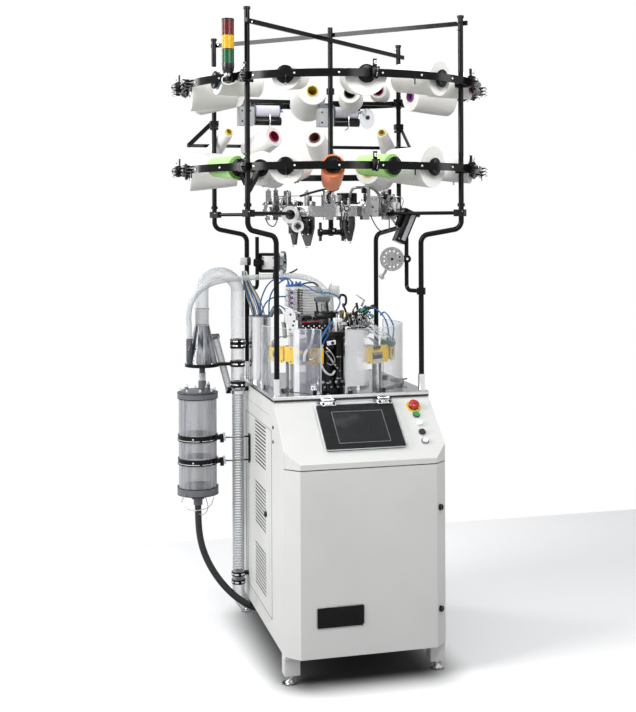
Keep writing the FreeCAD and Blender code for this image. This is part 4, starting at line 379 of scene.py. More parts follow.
# the nodes that each finish covers, where the CAD solid itself stays in view
NODE_LOOKS = {
    "cabinet": "base_frame cabinet_panels front_door console_housing",
    "foot": "levelling_feet", "inner": "control_box", "motor": "drive_motor", "plate": "top_plate",
    "clamp": "door_lock_upper door_lock_lower creel_clamps bobbin_holders signal_base suction_brackets",
    "chrome": "console_fittings upright_sockets", "gloss_black": "terminal_panel", "cover": "screen_cover",
    "stop": "emergency_stop", "green": "green_button", "white": "white_button", "black": "black_button",
    "pale": "reset_button", "tube": "creel_uprights creel_bars creel_rings accessory_arms",
    "lens": "signal_lenses", "unit": "elastic_units", "elastic": "elastic_spool_left elastic_spool_right",
    "aluminium": "feeder_ring feeder_units wheel_right wheel_left", "cable_black": "feeder_covers",
    "steel": "cylinder_housing needle_cylinder dial yarn_fingers", "grey": "selector_ring",
    "board": "selector_plates", "casting": "dial_bracket lift_handle", "valve": "valve_block",
    "guard": "guard_left guard_right", "duct": "steel_guard", "clear_tube": "suction_pipe",
    "elbow": "suction_elbow", "smoky_with_painted_highlights": "separator_cone", "collector": "collector_tube",
    "cap": "collector_caps", "hose_grey": "ribbed_hose", "hose_black": "drain_hose",
    "hose_clear": "waste_hose", "hose_blue": "air_hoses", "yarn_white": "white_yarn",
    "yarn_green": "coloured_yarn", "core_white": "yarn_cores",
}


def dress_nodes():
    for look, names in NODE_LOOKS.items():
        for name in names.split():
            slots = NODES[name].material_slots
            if not slots:
                NODES[name].data.materials.append(LOOK[look])
            for slot in slots:
                slot.material = LOOK[look]


# ---------------------------------------------------------------- building helpers


def circle(part, radius, height, steps):
    """A ring of vertices round Z, or a single one on the axis."""
    if radius < 1e-6:
        return [part.verts.new((0, 0, height * MM))]
    wide, high = radius * MM, height * MM
    turns = [2 * math.pi * step / steps for step in range(steps)]
    return [part.verts.new((wide * math.cos(t), wide * math.sin(t), high)) for t in turns]


def skin(part, rings, closed=False):
    """Faces between rings of vertices, in their order; a ring of one vertex is a tip."""
    faces = []
    for low, high in zip(rings, rings[1:] + rings[:1] if closed else rings[1:]):
        steps = max(len(low), len(high))
        for step in range(steps):
            after = (step + 1) % steps
            corners = [ring[spot % len(ring)]
                       for ring, spot in ((low, step), (low, after), (high, after), (high, step))]
            faces.append(part.faces.new(tuple(dict.fromkeys(corners))))
    return faces


class Piece:
    """One named mesh that gathers several shapes of the same finish."""

    begun = []

    def __init__(self, name, look, slot, body="machine", replaces=None, sharp=35):
        self.name, self.look, self.slot, self.body = name, look, slot, body
        self.replaces, self.sharp = replaces, sharp
        self.shape = bmesh.new()
        self.uv = self.shape.loops.layers.uv.new("UVMap")
        self.begun.append(self)

    def take(self, part, matrix=None):
        """Moves another bmesh's geometry into this piece."""
        if matrix is not None:
            bmesh.ops.transform(part, matrix=matrix, verts=part.verts)
        held = bpy.data.meshes.new("held")
        part.to_mesh(held)
        part.free()
        self.shape.from_mesh(held)
        bpy.data.meshes.remove(held)

    def block(self, size, at, bevel=0.8):
        """A box with softened edges in millimetres, centred on a matrix, or upright on a point."""
        part = bmesh.new()
        bmesh.ops.create_cube(part, size=1.0)
        bmesh.ops.scale(part, vec=mm(*size), verts=part.verts)
        if bevel:
            bmesh.ops.bevel(part, geom=part.edges[:], offset=bevel * MM, segments=2, profile=0.6,
                            affect="EDGES", clamp_overlap=True)
        self.take(part, at if isinstance(at, Matrix) else frame_at(at))

    def turned(self, profile, at, steps=32, closed=False):
        """A turned shape from (radius, height) points, round a matrix's Z or upright on a point."""
        part = bmesh.new()
        skin(part, [circle(part, radius, height, steps) for radius, height in profile], closed)
        bmesh.ops.recalc_face_normals(part, faces=part.faces)
        self.take(part, at if isinstance(at, Matrix) else place(at))

    def rod(self, radius, length, at, steps=12):
        self.turned([(0, 0), (radius, 0), (radius, length), (0, length)], at, steps)

    def collar(self, inner, outer, low, high, at, steps=40):
        self.turned([(inner, low), (outer, low), (outer, high), (inner, high)], at, steps, closed=True)

    def tube(self, points, radius, steps=10, smooth=True, closed=False):
        """A round bar or cable of this radius through points in millimetres."""
        line = smooth_line(points) if smooth and len(points) > 2 else [Vector(p) for p in points]
        part = bmesh.new()
        rings = []
        normal = None
        for index, spot in enumerate(line):
            before = line[index - 1] if index or closed else spot
            after = line[(index + 1) % len(line)] if index + 1 < len(line) or closed else spot
            ahead = (after - before).normalized()
            if normal is None:
                normal = ahead.orthogonal().normalized()
            normal = (normal - ahead * normal.dot(ahead)).normalized()
            side = ahead.cross(normal)
            turns = [2 * math.pi * step / steps for step in range(steps)]
            rings.append([part.verts.new((spot + (normal * math.cos(t) + side * math.sin(t)) * radius) * MM)
                          for t in turns])
        skin(part, rings, closed)
        if not closed:
            part.faces.new(list(reversed(rings[0])))
            part.faces.new(rings[-1])
        self.take(part)

    def sheet(self, outline, thickness, matrix, bevel=0.4):
        """A flat plate cut to an outline in millimetres, on the matrix's XY plane."""
        part = bmesh.new()
        face = part.faces.new([part.verts.new((x * MM, y * MM, 0)) for x, y in outline])
        grown = bmesh.ops.extrude_face_region(part, geom=[face])
        moved = [v for v in grown["geom"] if isinstance(v, bmesh.types.BMVert)]
        bmesh.ops.translate(part, vec=(0, 0, thickness * MM), verts=moved)
        bmesh.ops.recalc_face_normals(part, faces=part.faces)
        bmesh.ops.bevel(part, geom=part.edges[:], offset=bevel * MM, segments=1, affect="EDGES",
                        clamp_overlap=True)
        self.take(part, matrix)

    def finish(self):
        """Turns the gathered shapes into an object that rides on the piece's body."""
        self.begun.remove(self)
        mesh = bpy.data.meshes.new(self.name)
        self.shape.to_mesh(mesh)
        self.shape.free()
        mesh.materials.append(LOOK[self.look])
        mesh.polygons.foreach_set("use_smooth", [True] * len(mesh.polygons))
        mesh.set_sharp_from_angle(angle=math.radians(self.sharp))
        made = shown(self.name, mesh)
        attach(made, self.body)
        if self.replaces:
            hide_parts(self.replaces)
        return made


def smooth_line(points, per_span=6):
    """Points along a Catmull-Rom line through the given ones."""
    spots = [Vector(p) for p in points]
    line = []
    for index in range(len(spots) - 1):
        b, c = spots[index], spots[index + 1]
        a = spots[index - 1] if index else b * 2 - c
        d = spots[index + 2] if index + 2 < len(spots) else c * 2 - b
        for step in range(per_span):
            t = step / per_span
            line.append(0.5 * ((2 * b) + (c - a) * t + (2 * a - 5 * b + 4 * c - d) * t * t
                               + (3 * b - a - 3 * c + d) * t ** 3))
    return line + [spots[-1]]


def bolt_head(piece, spot, axis=UP, radius=4.0, height=3.0, socket=True):
    """A cap screw head with its hexagon socket."""
    well = [(0, height * 0.4), (radius * 0.45, height * 0.4)] if socket else [(0, height)]
    rim = [(radius * 0.45, height), (radius * 0.88, height), (radius, height * 0.75), (radius, 0)]
    piece.turned(well + rim, place(spot, axis), 14)


def bar(piece, start, end, width, height, bevel=0.6, up=(0, 0, 1)):
    """A straight flat bar between two points in millimetres."""
    start, end = Vector(start), Vector(end)
    piece.block(((end - start).length, width, height), frame_at((start + end) / 2, end - start, up), bevel)


def disc(piece, spot, axis, radius, depth, steps=24, bevel=0.6):
    """A round plate or knob whose rear face stands on the spot."""
    rim = [(radius - bevel, 0), (radius, bevel), (radius, depth - bevel), (radius - bevel, depth)]
    piece.turned([(0, 0), *rim, (0, depth)], place(spot, axis), steps)


def ring_of(piece, spot, axis, inner, outer, depth, steps=28):
    piece.collar(inner, outer, 0, depth, place(spot, axis), steps)


def station(radius, angle, height):
    """Outward and sideways directions at an angle round the axis, and a maker of points near there."""
    out, side, root = polar(1, angle), polar(1, angle + 90), polar(radius, angle, height)
    return out, side, lambda ahead=0, across=0, up=0: root + out * ahead + side * across + UP * up


def curve_piece(name, route, radius, look):
    """A NURBS curve along a route in millimetres, with a round section."""
    data = bpy.data.curves.new(name, "CURVE")
    data.dimensions = "3D"
    data.resolution_u = 8
    data.bevel_depth = 1.0  # the section's size sits in the points' radius, so the curve's own box is true
    data.bevel_resolution = 5
    data.use_fill_caps = True
    spline = data.splines.new("NURBS")
    spline.points.add(len(route) - 1)
    for point, spot in zip(spline.points, route):
        point.co = (*mm(*spot), 1)
        point.radius = radius * MM
    spline.order_u = 3
    spline.use_endpoint_u = True
    data.materials.append(LOOK[look])
    made = shown(name, data)
    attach(made, "machine")
    return made


def centre_line(made):
    """The curve's own line, in millimetres, read from its evaluated spline."""
    depth = made.data.bevel_depth
    made.data.bevel_depth = 0
    bpy.context.view_layer.update()
    graph = bpy.context.evaluated_depsgraph_get()
    mesh = bpy.data.meshes.new_from_object(made.evaluated_get(graph))
    line = [v.co.copy() / MM for v in mesh.vertices]
    bpy.data.meshes.remove(mesh)
    made.data.bevel_depth = depth
    return line


# ---------------------------------------------------------------- camera, light and floor

EYE = Vector((-1.1878, -4.4634, 1.6406))  # metres
EYE_YAW, EYE_ROLL = 14.262, -0.239  # degrees
FOCAL_PIXELS = 1155.675
PHOTO_HEIGHT = 712
HORIZON_ROW = 222.825


def make_camera():
    data = bpy.data.cameras.new("photo_camera")
    data.sensor_width = 36
    data.lens = FOCAL_PIXELS * data.sensor_width / PHOTO_HEIGHT
    data.shift_y = (HORIZON_ROW - PHOTO_HEIGHT / 2) / PHOTO_HEIGHT
    data.clip_end = 60
    made = shown("photo_camera", data)
    turn = (Matrix.Rotation(math.radians(-EYE_YAW), 4, "Z") @ Matrix.Rotation(math.radians(90), 4, "X")
            @ Matrix.Rotation(math.radians(EYE_ROLL), 4, "Z"))
    made.matrix_world = Matrix.Translation(EYE) @ turn
    bpy.context.scene.camera = made


# spot and target in metres, width and height in metres, power in watts
LIGHTS = {
    "key_left": ((-4.6, -1.3, 3.0), (0, 0, 1.1), (2.0, 2.4), 245),
    "front_strip": ((0.4, -5.6, 3.0), (0, 0, 1.2), (0.9, 2.6), 46),
    "front_top": ((0.3, -2.3, 3.1), (0, -0.4, 0.6), (1.4, 0.8), 46),
    "fill_right": ((3.9, -1.2, 2.4), (0, 0, 1.3), (0.9, 2.6), 26),
    "top_soft": ((-0.3, 0.2, 4.6), (0, 0, 1.0), (2.4, 2.4), 66),
    "rim_left": ((-3.2, 2.8, 2.6), (0, 0, 1.3), (1.0, 2.4), 60),
}
AMBIENT = 0.26
MIRRORED_WHITE = 0.5


def make_lights():
    for name, (spot, target, size, power) in LIGHTS.items():
        data = bpy.data.lights.new(name, "AREA")
        data.shape = "RECTANGLE"
        data.size, data.size_y = size
        data.energy = power
        ahead = Vector(target) - Vector(spot)
        turn = ahead.to_track_quat("-Z", "Y").to_matrix().to_4x4()
        shown(name, data).matrix_world = Matrix.Translation(spot) @ turn


def make_world():
    """White to the camera and through clear parts, half that in mirrors, and a dim cool ambient."""
    world = bpy.data.worlds.new("studio")
    world.use_nodes = True
    bpy.context.scene.world = world
    nodes = Nodes(world.node_tree)
    nodes.tree.nodes.clear()
    seen = nodes.node("Background", Color=(1, 1, 1, 1), Strength=1.0)
    ambient = nodes.node("Background", Color=(0.95, 0.97, 1, 1), Strength=AMBIENT)
    path = nodes.node("LightPath").outputs
    mirrored = nodes.math("MULTIPLY", path["Is Glossy Ray"], MIRRORED_WHITE)
    unlit = nodes.math("MAXIMUM", path["Is Transmission Ray"], mirrored)
    factor = nodes.math("MAXIMUM", path["Is Camera Ray"], unlit)
    nodes.node("OutputWorld", Surface=nodes.mix_shader(factor, ambient, seen))


FLOOR_EDGE = 1.48  # metres behind the knitting axis, where the white background begins
FLOOR_REACH = 14


def make_floor():
    """A pale table top with a soft dark contact shadow, which ends behind the machine."""
    made = Finish("studio_floor", (0.93, 0.93, 0.935), 0.6, Specular_IOR_Level=0.2)
    # painted light falloff: the table top is painted a little darker at the left and full white at the right
    across = made.spread(made.along("X"), 0.0, 1.0, -1.6, 2.2)
    painted_falloff = [(0.0, (0.88, 0.88, 0.885)), (0.45, (0.95, 0.95, 0.955)), (1.0, (1.0, 1.0, 1.0))]
    # distance outside the machine's footprint, from its centre and half size along each axis
    past = {}
    for axis, centre, half in (("X", 0.0, 0.2), ("Y", -0.073, 0.36)):
        off = made.math("ABSOLUTE", made.math("SUBTRACT", made.along(axis), centre))
        past[axis] = made.math("MAXIMUM", made.math("SUBTRACT", off, half), 0.0)
    flat = made.node("CombineXYZ", **past).outputs[0]
    away = made.node("VectorMath", operation="LENGTH", Vector=flat).outputs["Value"]
    shadow = made.spread(away, 0.97, 0.0, 0.0, 0.23, interpolation_type="SMOOTHSTEP")
    path = made.node("LightPath").outputs
    pale = made.mix_colour(path["Is Camera Ray"], (0.4, 0.4, 0.4, 1), made.ramp(across, painted_falloff))
    made.drive(Base_Color=made.mix_colour(shadow, pale, (0.008, 0.008, 0.008, 1)))
    glow = made.node("Emission", Color=(1, 1, 1, 1), Strength=1.0)
    beyond = made.math("GREATER_THAN", made.along("Y"), FLOOR_EDGE)
    seen = made.math("MULTIPLY", beyond, path["Is Camera Ray"])
    # metal and clear plastic mirror a pale studio, not the unlit end of the floor
    far = made.spread(away, 0.0, 0.8, 0.4, 1.15)
    bright = made.math("MAXIMUM", seen, made.math("MULTIPLY", far, path["Is Glossy Ray"]))
    surface = made.tree.nodes["Material Output"].inputs["Surface"]
    made.feed(surface, made.mix_shader(bright, made.shader, glow))
    mesh = bpy.data.meshes.new("studio_floor")
    corners = [(FLOOR_REACH * x, FLOOR_REACH * y, 0) for x, y in ((-1, -1), (1, -1), (1, 1), (-1, 1))]
    mesh.from_pydata(corners, [], [(0, 1, 2, 3)])
    mesh.materials.append(made.material)
    shown("studio_floor", mesh)


# ---------------------------------------------------------------- hoses

DRAIN_ROUTE = [(-509, 200, 501), (-509, 200, 430), (-500, 199, 350), (-478, 196, 282), (-444, 189, 218),
               (-400, 176, 160), (-350, 162, 114), (-300, 152, 84), (-246, 147, 72), (-190, 147, 72)]
WASTE_ROUTE = [(-546, 172, 1176), (-546, 172, 1222), (-550, 168, 1268), (-544, 160, 1314), (-522, 152, 1356),
               (-484, 147, 1388), (-438, 144, 1406), (-388, 142, 1414), (-336, 139, 1418), (-284, 131, 1421),
               (-232, 116, 1424), (-182, 94, 1427), (-134, 68, 1428), (-90, 42, 1421), (-52, 22, 1402),
               (-24, 8, 1374), (-6, 0, 1344), (0, 0, 1314), (0, 0, 1286)]
AIR_ROUTES = [
    [(118, -24, 1264), (118, -24, 1288), (134, -34, 1306), (162, -50, 1302), (190, -66, 1280),
     (207, -82, 1244), (210, -94, 1206), (206, -100, 1172), (206, -100, 1140)],
    [(-266, 178, 999), (-266, 178, 1052), (-264, 179, 1106), (-260, 177, 1162), (-256, 170, 1218),
     (-252, 158, 1270), (-244, 132, 1314), (-226, 98, 1338), (-203, 60, 1346), (-172.1, 58, 1346)],
]
DRAIN_LENGTH, WASTE_LENGTH, AIR_LENGTHS = 0.608, 0.838, (0.267, 0.442)  # metres
WASTE_RADIUS = 11.0


def helix_rib(piece, line, radius, wire, pitch, per_turn=14):
    """A raised spiral of wire along a line in millimetres, one turn for each pitch."""
    lengths = [0.0]
    for a, b in zip(line, line[1:]):
        lengths.append(lengths[-1] + (b - a).length)
    total = lengths[-1]
    normal = (line[1] - line[0]).orthogonal().normalized()
    count = int(total / pitch * per_turn)
    points = []
    index = 0
    for step in range(count + 1):
        along = total * step / count
        while index < len(line) - 2 and lengths[index + 1] < along:
            index += 1
        a, b = line[index], line[index + 1]
        ahead = (b - a).normalized()
        normal = (normal - ahead * normal.dot(ahead)).normalized()
        spot = a.lerp(b, (along - lengths[index]) / max(1e-9, lengths[index + 1] - lengths[index]))
        turn = 2 * math.pi * step / per_turn
        points.append(spot + (normal * math.cos(turn) + ahead.cross(normal) * math.sin(turn)) * radius)
    piece.tube(points, wire, 5, smooth=False)


def make_cords():
    drain = curve_piece("drain_hose_line", DRAIN_ROUTE, 13.5, "hose_black")
    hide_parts("drain_hose")
    waste = curve_piece("waste_hose_line", WASTE_ROUTE, WASTE_RADIUS, "hose_clear")
    ribs = Piece("waste_hose_spiral", "hose_rib", "hose_clear")
    helix_rib(ribs, centre_line(waste), WASTE_RADIUS, 1.1, 7.0)
    spiral = ribs.finish()
    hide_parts("waste_hose")
    for number, (route, length) in enumerate(zip(AIR_ROUTES, AIR_LENGTHS)):
        air = curve_piece("air_hose_line_%d" % number, route, 3.0, "hose_blue")
        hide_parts("air_hoses")


# ---------------------------------------------------------------- yarn packages

PACKAGES = {
    # diameter of the base and of the nose, and length
    "wide": (178, 150, 184),
    "large": (154, 126, 186),
    "stout": (130, 106, 186),
    "medium": (108, 88, 168),
    "slim": (88, 74, 168),
    "small": (70, 46, 160),
}
HOOP_RADIUS = 565
HOOP_LEVELS = {"upper": 2165, "lower": 1842}

# colour, package, hoop angle or base point, direction of the nose, upward tilt, core colour
UPPER_BOBBINS = [
    ("white", "wide", 178, 0, 3, "white"),
    ("white", "large", 149, -44, 3, "brown"),
    ("white", "medium", -152, 12, -4, "teal"),
    ("white", "medium", -121, 62, 3, "black"),
    ("white", "large", 86, -96, 14, "yellow"),
    ("white", "large", -92, 85, 3, "yellow"),
    ("white", "slim", (348, 445, 2210), -111, 0, "crimson"),
    ("white", "stout", -60, 125, 5, "teal"),
    ("white", "large", 14, -166, 0, "purple"),
    ("white", "medium", -32, 148, 3, "crimson"),
]
LOWER_BOBBINS = [
    ("green", "slim", (-435, -328, 1842), 110, 3, "teal"),
    ("white", "large", 176, -4, 2, "black"),
    ("white", "stout", (-340, -280, 1842), 62, -5, "white"),
    ("white", "stout", -121, 62, 3, "yellow"),
    ("orange", "slim", -104, 77, -18, "crimson"),
    ("white", "stout", 52, -125, 5, "yellow"),
    ("green", "slim", -82, 114, 3, "black"),
    ("white", "large", -64, 124, 3, "brown"),
    ("white", "medium", -33, 146, 3, "blue"),
]
REAR_BOBBINS = [
    ("white", "medium", (181, 335, 2169), -107.5, 4.5, "black"),
    ("white", "small", (-396, 464, 1948), -73, 28, "yellow"),
    ("white", "medium", (-237, 458, 1949), -62, 20, "crimson"),
    ("white", "medium", (90, 462, 1928), -119, 27, "brown"),
    ("white", "small", (389, 462, 1963), -119, 25, "yellow"),
]


def bobbin_places():
    tiers = ((UPPER_BOBBINS, HOOP_LEVELS["upper"]), (LOWER_BOBBINS, HOOP_LEVELS["lower"]), (REAR_BOBBINS, 0))
    for rows, level in tiers:
        for colour, size, spot, heading, tilt, core in rows:
            if isinstance(spot, tuple):
                base = Vector(spot)
            else:
                base = polar(HOOP_RADIUS - 0.6 * max(abs(tilt) - 6, 0), spot, level)
            rise, flat = math.sin(math.radians(tilt)), math.cos(math.radians(tilt))
            yield colour, size, base, polar(flat, heading, rise), core


def wound_package(piece, size, matrix, core, steps=56, rows=14):
    """A crowned cone of yarn whose ends dip towards the core, with UVs round and along it."""
    base, nose, length = PACKAGES[size]
    profile = [(core, 3.0), (0.5 * base - 6, 1.2), (0.5 * base - 1.5, 0.4)]
    for row in range(rows + 1):
        t = row / rows
        radius = 0.5 * (base + (nose - base) * t) - 0.8 + 0.72 * math.sin(math.pi * t)
        profile.append((min(radius, 0.5 * base), 2.0 + (length - 4.0) * t))
    profile += [(0.5 * nose - 2.0, length - 0.4), (0.5 * nose - 7, length - 1.4), (core, length - 3.0)]
    walked = [0.0]
    for a, b in zip(profile, profile[1:]):
        walked.append(walked[-1] + math.hypot(b[0] - a[0], b[1] - a[1]))
    part = bmesh.new()
    uv = part.loops.layers.uv.new("UVMap")
    for index, face in enumerate(skin(part, [circle(part, *spot, steps) for spot in profile])):
        row, step = divmod(index, steps)
        spots = ((step, row), (step + 1, row), (step + 1, row + 1), (step, row + 1))
        for loop, (around, up) in zip(face.loops, spots):
            loop[uv].uv = (around / steps * 2.2, walked[up] / 150.0)
    piece.take(part, matrix)


CORE_RADIUS = 24


def holder_scale(size):
    """Small packages sit on slimmer cores and holders."""
    return 0.62 if size == "small" else 1.0


def make_packages():
    yarns = {colour: Piece(colour + "_packages", "yarn_" + colour, slot, replaces=node)
             for colour, slot, node in (("white", "yarn_white", "white_yarn"),
                                        ("green", "yarn_green", "coloured_yarn"),
                                        ("orange", "yarn_green", "coloured_yarn"))}
    cores = {name: Piece("cores_" + name, "core_" + name, "core_crimson") for name in CORE_COLOURS}
    cores["white"].replaces = "yarn_cores"
    for colour, size, base, ahead, core_colour in bobbin_places():
        outer = CORE_RADIUS * holder_scale(size)
        matrix = place(base, ahead)
        wound_package(yarns[colour], size, matrix, outer)
        length = PACKAGES[size][2]
        cores[core_colour].turned([
            (outer - 3.2, -5), (outer - 0.6, -5), (outer, -4.4), (outer, length + 4.2),
            (outer - 0.8, length + 5), (outer - 3.2, length + 5)], matrix, 32, closed=True)


# ---------------------------------------------------------------- knitting head

BOARD_ANGLES = (-166, -132, -59, -26, 8, 56)
BOARD_RADIUS = 246
BOARD_MIDDLE = 1134
PLATE_TOP = 999
SIDE_FACE = 303
GUARD_RADIUS, GUARD_HEIGHT = 283, 240


def make_boards():
    """Connectors, comb teeth, ribbon cables and screws of the yellow driver boards."""
    dark = Piece("board_windows", "bezel", "board_yellow")
    comb = Piece("board_combs", "white", "board_yellow")
    grey = Piece("board_modules", "grey", "carrier_grey")
    screws = Piece("board_screws", "screw", "machined_steel")
    cables = Piece("board_cables", "cable_grey", "board_yellow")
    for number, angle in enumerate(BOARD_ANGLES):
        out, _, at = station(BOARD_RADIUS, angle, BOARD_MIDDLE)
        plug = 8 if number % 2 else -8
        dark.block((1.0, 57, 35), frame_at(at(-1.6, 0, -10), out), 0.2)
        grey.block((5, 50, 9), frame_at(at(0.5, 0, 2), out))
        for tooth in range(9):
            comb.block((6.5, 2.6, 15 + tooth % 2), frame_at(at(0.5, 6 * tooth - 24, -27), out), 0.4)
        comb.block((5, 54, 3), frame_at(at(0.8, 0, -19.5), out), 0.5)
        for across in (-50, 50):
            for height in (-25, 25):
                bolt_head(screws, at(1, across, height), out, 3.2, 2.2)
        dark.block((9, 34, 11), frame_at(at(5, plug, 27), out))
        for wire in range(6):
            start = 5 * wire - 18 + plug
            cables.tube([at(5, start, 32), at(5, start, 44), at(-22, wire * 3 - 20, 60),
                         at(-74, wire * 2 - 8, 64)], 1.1, 6)
    band = Piece("board_bands", "board", "board_yellow")
    for start, end in ((-156, -143), (-118, -112), (-76, -72), (-46, -39)):
        for step in range(start, end, 3):
            middle = polar(BOARD_RADIUS - 1, step + 1.5, BOARD_MIDDLE + 2)
            band.block((3, 14, 58), frame_at(middle, polar(1, step + 1.5)), 0.4)


# bent rods and hoses round the dial: radius, steps round it and points of each
HEAD_LINES = (
    ("head_bent_rods", "casting", "casting_black", (
        (3.2, 8, ((-120, 34, 1388), (-106, 26, 1398), (-74, 18, 1402), (-58, 12, 1396), (-52, 10, 1386))),
        (5.0, 10, ((45, -10, 1304), (58, -10, 1320), (56, -10, 1346), (38, -10, 1352), (30, -10, 1338))),
    )),
    ("head_air_lines", "hose_blue", "hose_blue", (
        (3.0, 8, ((-128, 36, 1400), (-96, 8, 1386), (-60, -4, 1366), (-16, -8, 1362), (14, -14, 1352),
                 (30, -20, 1330), (22, -30, 1306), (8, -40, 1290))),
        (3.0, 8, ((-166, 40, 1404), (-180, 20, 1418), (-214, 10, 1400), (-236, 20, 1370), (-240, 60, 1330),
                 (-232, 110, 1262))),
        (3.0, 8, ((-150, 40, 1404), (-172, 60, 1420), (-226, 100, 1404), (-254, 140, 1340),
                 (-262, 160, 1258))),
        (3.2, 8, ((186, -60, 1272), (199, -74, 1284), (212, -100, 1264), (216, -136, 1234),
                 (200, -180, 1196), (188, -196, 1176))),
        (4.2, 10, ((-34, -146, 1258), (-60, -176, 1240), (-86, -206, 1216), (-104, -226, 1192))),
        (2.6, 8, ((-26, -146, 1244), (-48, -180, 1226), (-76, -212, 1204), (-96, -232, 1180))),
    )),
    ("head_clear_lines", "hose_rib", "hose_clear", (
        (5.5, 10, ((-111, -150, 1230), (-122, -180, 1206), (-140, -216, 1176), (-164, -236, 1152),
                 (-170, -238, 1120))),
        (4.0, 10, ((-106, -236, 1122), (-102, -250, 1096), (-86, -256, 1074), (-66, -252, 1068),
                 (-52, -244, 1080))),
        (4.0, 10, ((-96, -236, 1180), (-110, -240, 1150), (-132, -240, 1128), (-150, -238, 1126))),
    )),
)


def make_valve_trim():
    """Slabs, nozzles, fittings and hoses of the white valve block."""
    slabs = Piece("valve_slabs", "valve", "valve_white")
    tips = Piece("valve_nozzles", "bezel", "valve_white")
    steel = Piece("valve_steel", "screw", "machined_steel")
    purple = Piece("valve_purple", "purple", "valve_white")
    blue = Piece("valve_blue", "blue", "hose_blue")
    for row in range(11):
        z = 1268 + 10.6 * row
        slabs.block((92, 4, 7.4), (-84, 28.6, z), 0.8)
        slabs.block((26, 5, 7.4), (-148, 28.6, z), 0.8)
        nozzle = [(0, 0), (4.2, 0), (4.2, 13), (3.2, 15), (0, 15)]
        tips.turned(nozzle, place((-127, 27, z), (-0.15, -1, 0.1)), 12)
        steel.rod(3.1, 22, place((-138, 30, z), (-0.15, -1, 0.05)))
        tips.block((9, 9, 4), (-116, 26, z), 0.6)
        if row % 2:
            purple.block((10, 10, 9), frame_at((-157, 24, z), (1, 0.3, 0)), 1)
            bolt_head(steel, (-166, 24, z), (-0.4, -1, 0), 4.5, 6)
        else:
            steel.turned([(0, 0), (4.6, 0), (4.6, 9), (2, 12), (2, 20), (0, 20)],
                         place((-166, 28, z), (-0.8, -0.6, 0.1)), 12)
    blue.block((64, 20, 9), frame_at((-142, 44, 1391), (1, 0.1, 0.05)), 1.5)
    for x in (-166, -150, -134, -118):
        blue.turned([(0, 0), (5, 0), (5, 10), (3.4, 12), (0, 12)], (x, 40, 1393), 14)
        steel.rod(3.2, 4, (x, 40, 1404))
    slabs.block((48, 26, 84), (-2, 60, 1330), 2)
    slabs.block((40, 20, 46), (20, 30, 1364), 2)
    disc(slabs, (4, 24, 1387), (0, 0, 1), 5, 10, 16)
    for z in (1300, 1318, 1336, 1354):
        bolt_head(steel, (6, 46.5, z), (0, -1, 0), 3.4, 2)
        bolt_head(steel, (-10, 46.5, z), (0, -1, 0), 3.4, 2)
    for name, look, slot, lines in HEAD_LINES:
        piece = Piece(name, look, slot)
        for radius, steps, points in lines:
            piece.tube(points, radius, steps)
    plate = Piece("head_white_plates", "white", "valve_white")
    plate.sheet([(0, 0), (78, 0), (78, 10), (34, 14), (30, 74), (14, 96), (-8, 92), (-10, 40), (0, 34)], 5,
                frame_at((-206, -120, 1216), (1, 0, 0), (0, -1, 0)), 0.8)
    plate.block((62, 34, 5), frame_at((-176, -70, 1300), (1, 0.2, -0.5)), 1)
    plate.block((44, 40, 30), frame_at((-192, -40, 1268), (1, 0.2, 0)), 2)
    marks = Piece("head_plate_screws", "bezel", "casting_black")
    for x, z in ((-198, 1232), (-186, 1246), (-196, 1288), (-150, 1222), (-182, 1262)):
        disc(marks, (x, -124.5, z), (0, -1, 0), 4.2, 1.6, 14, 0.4)


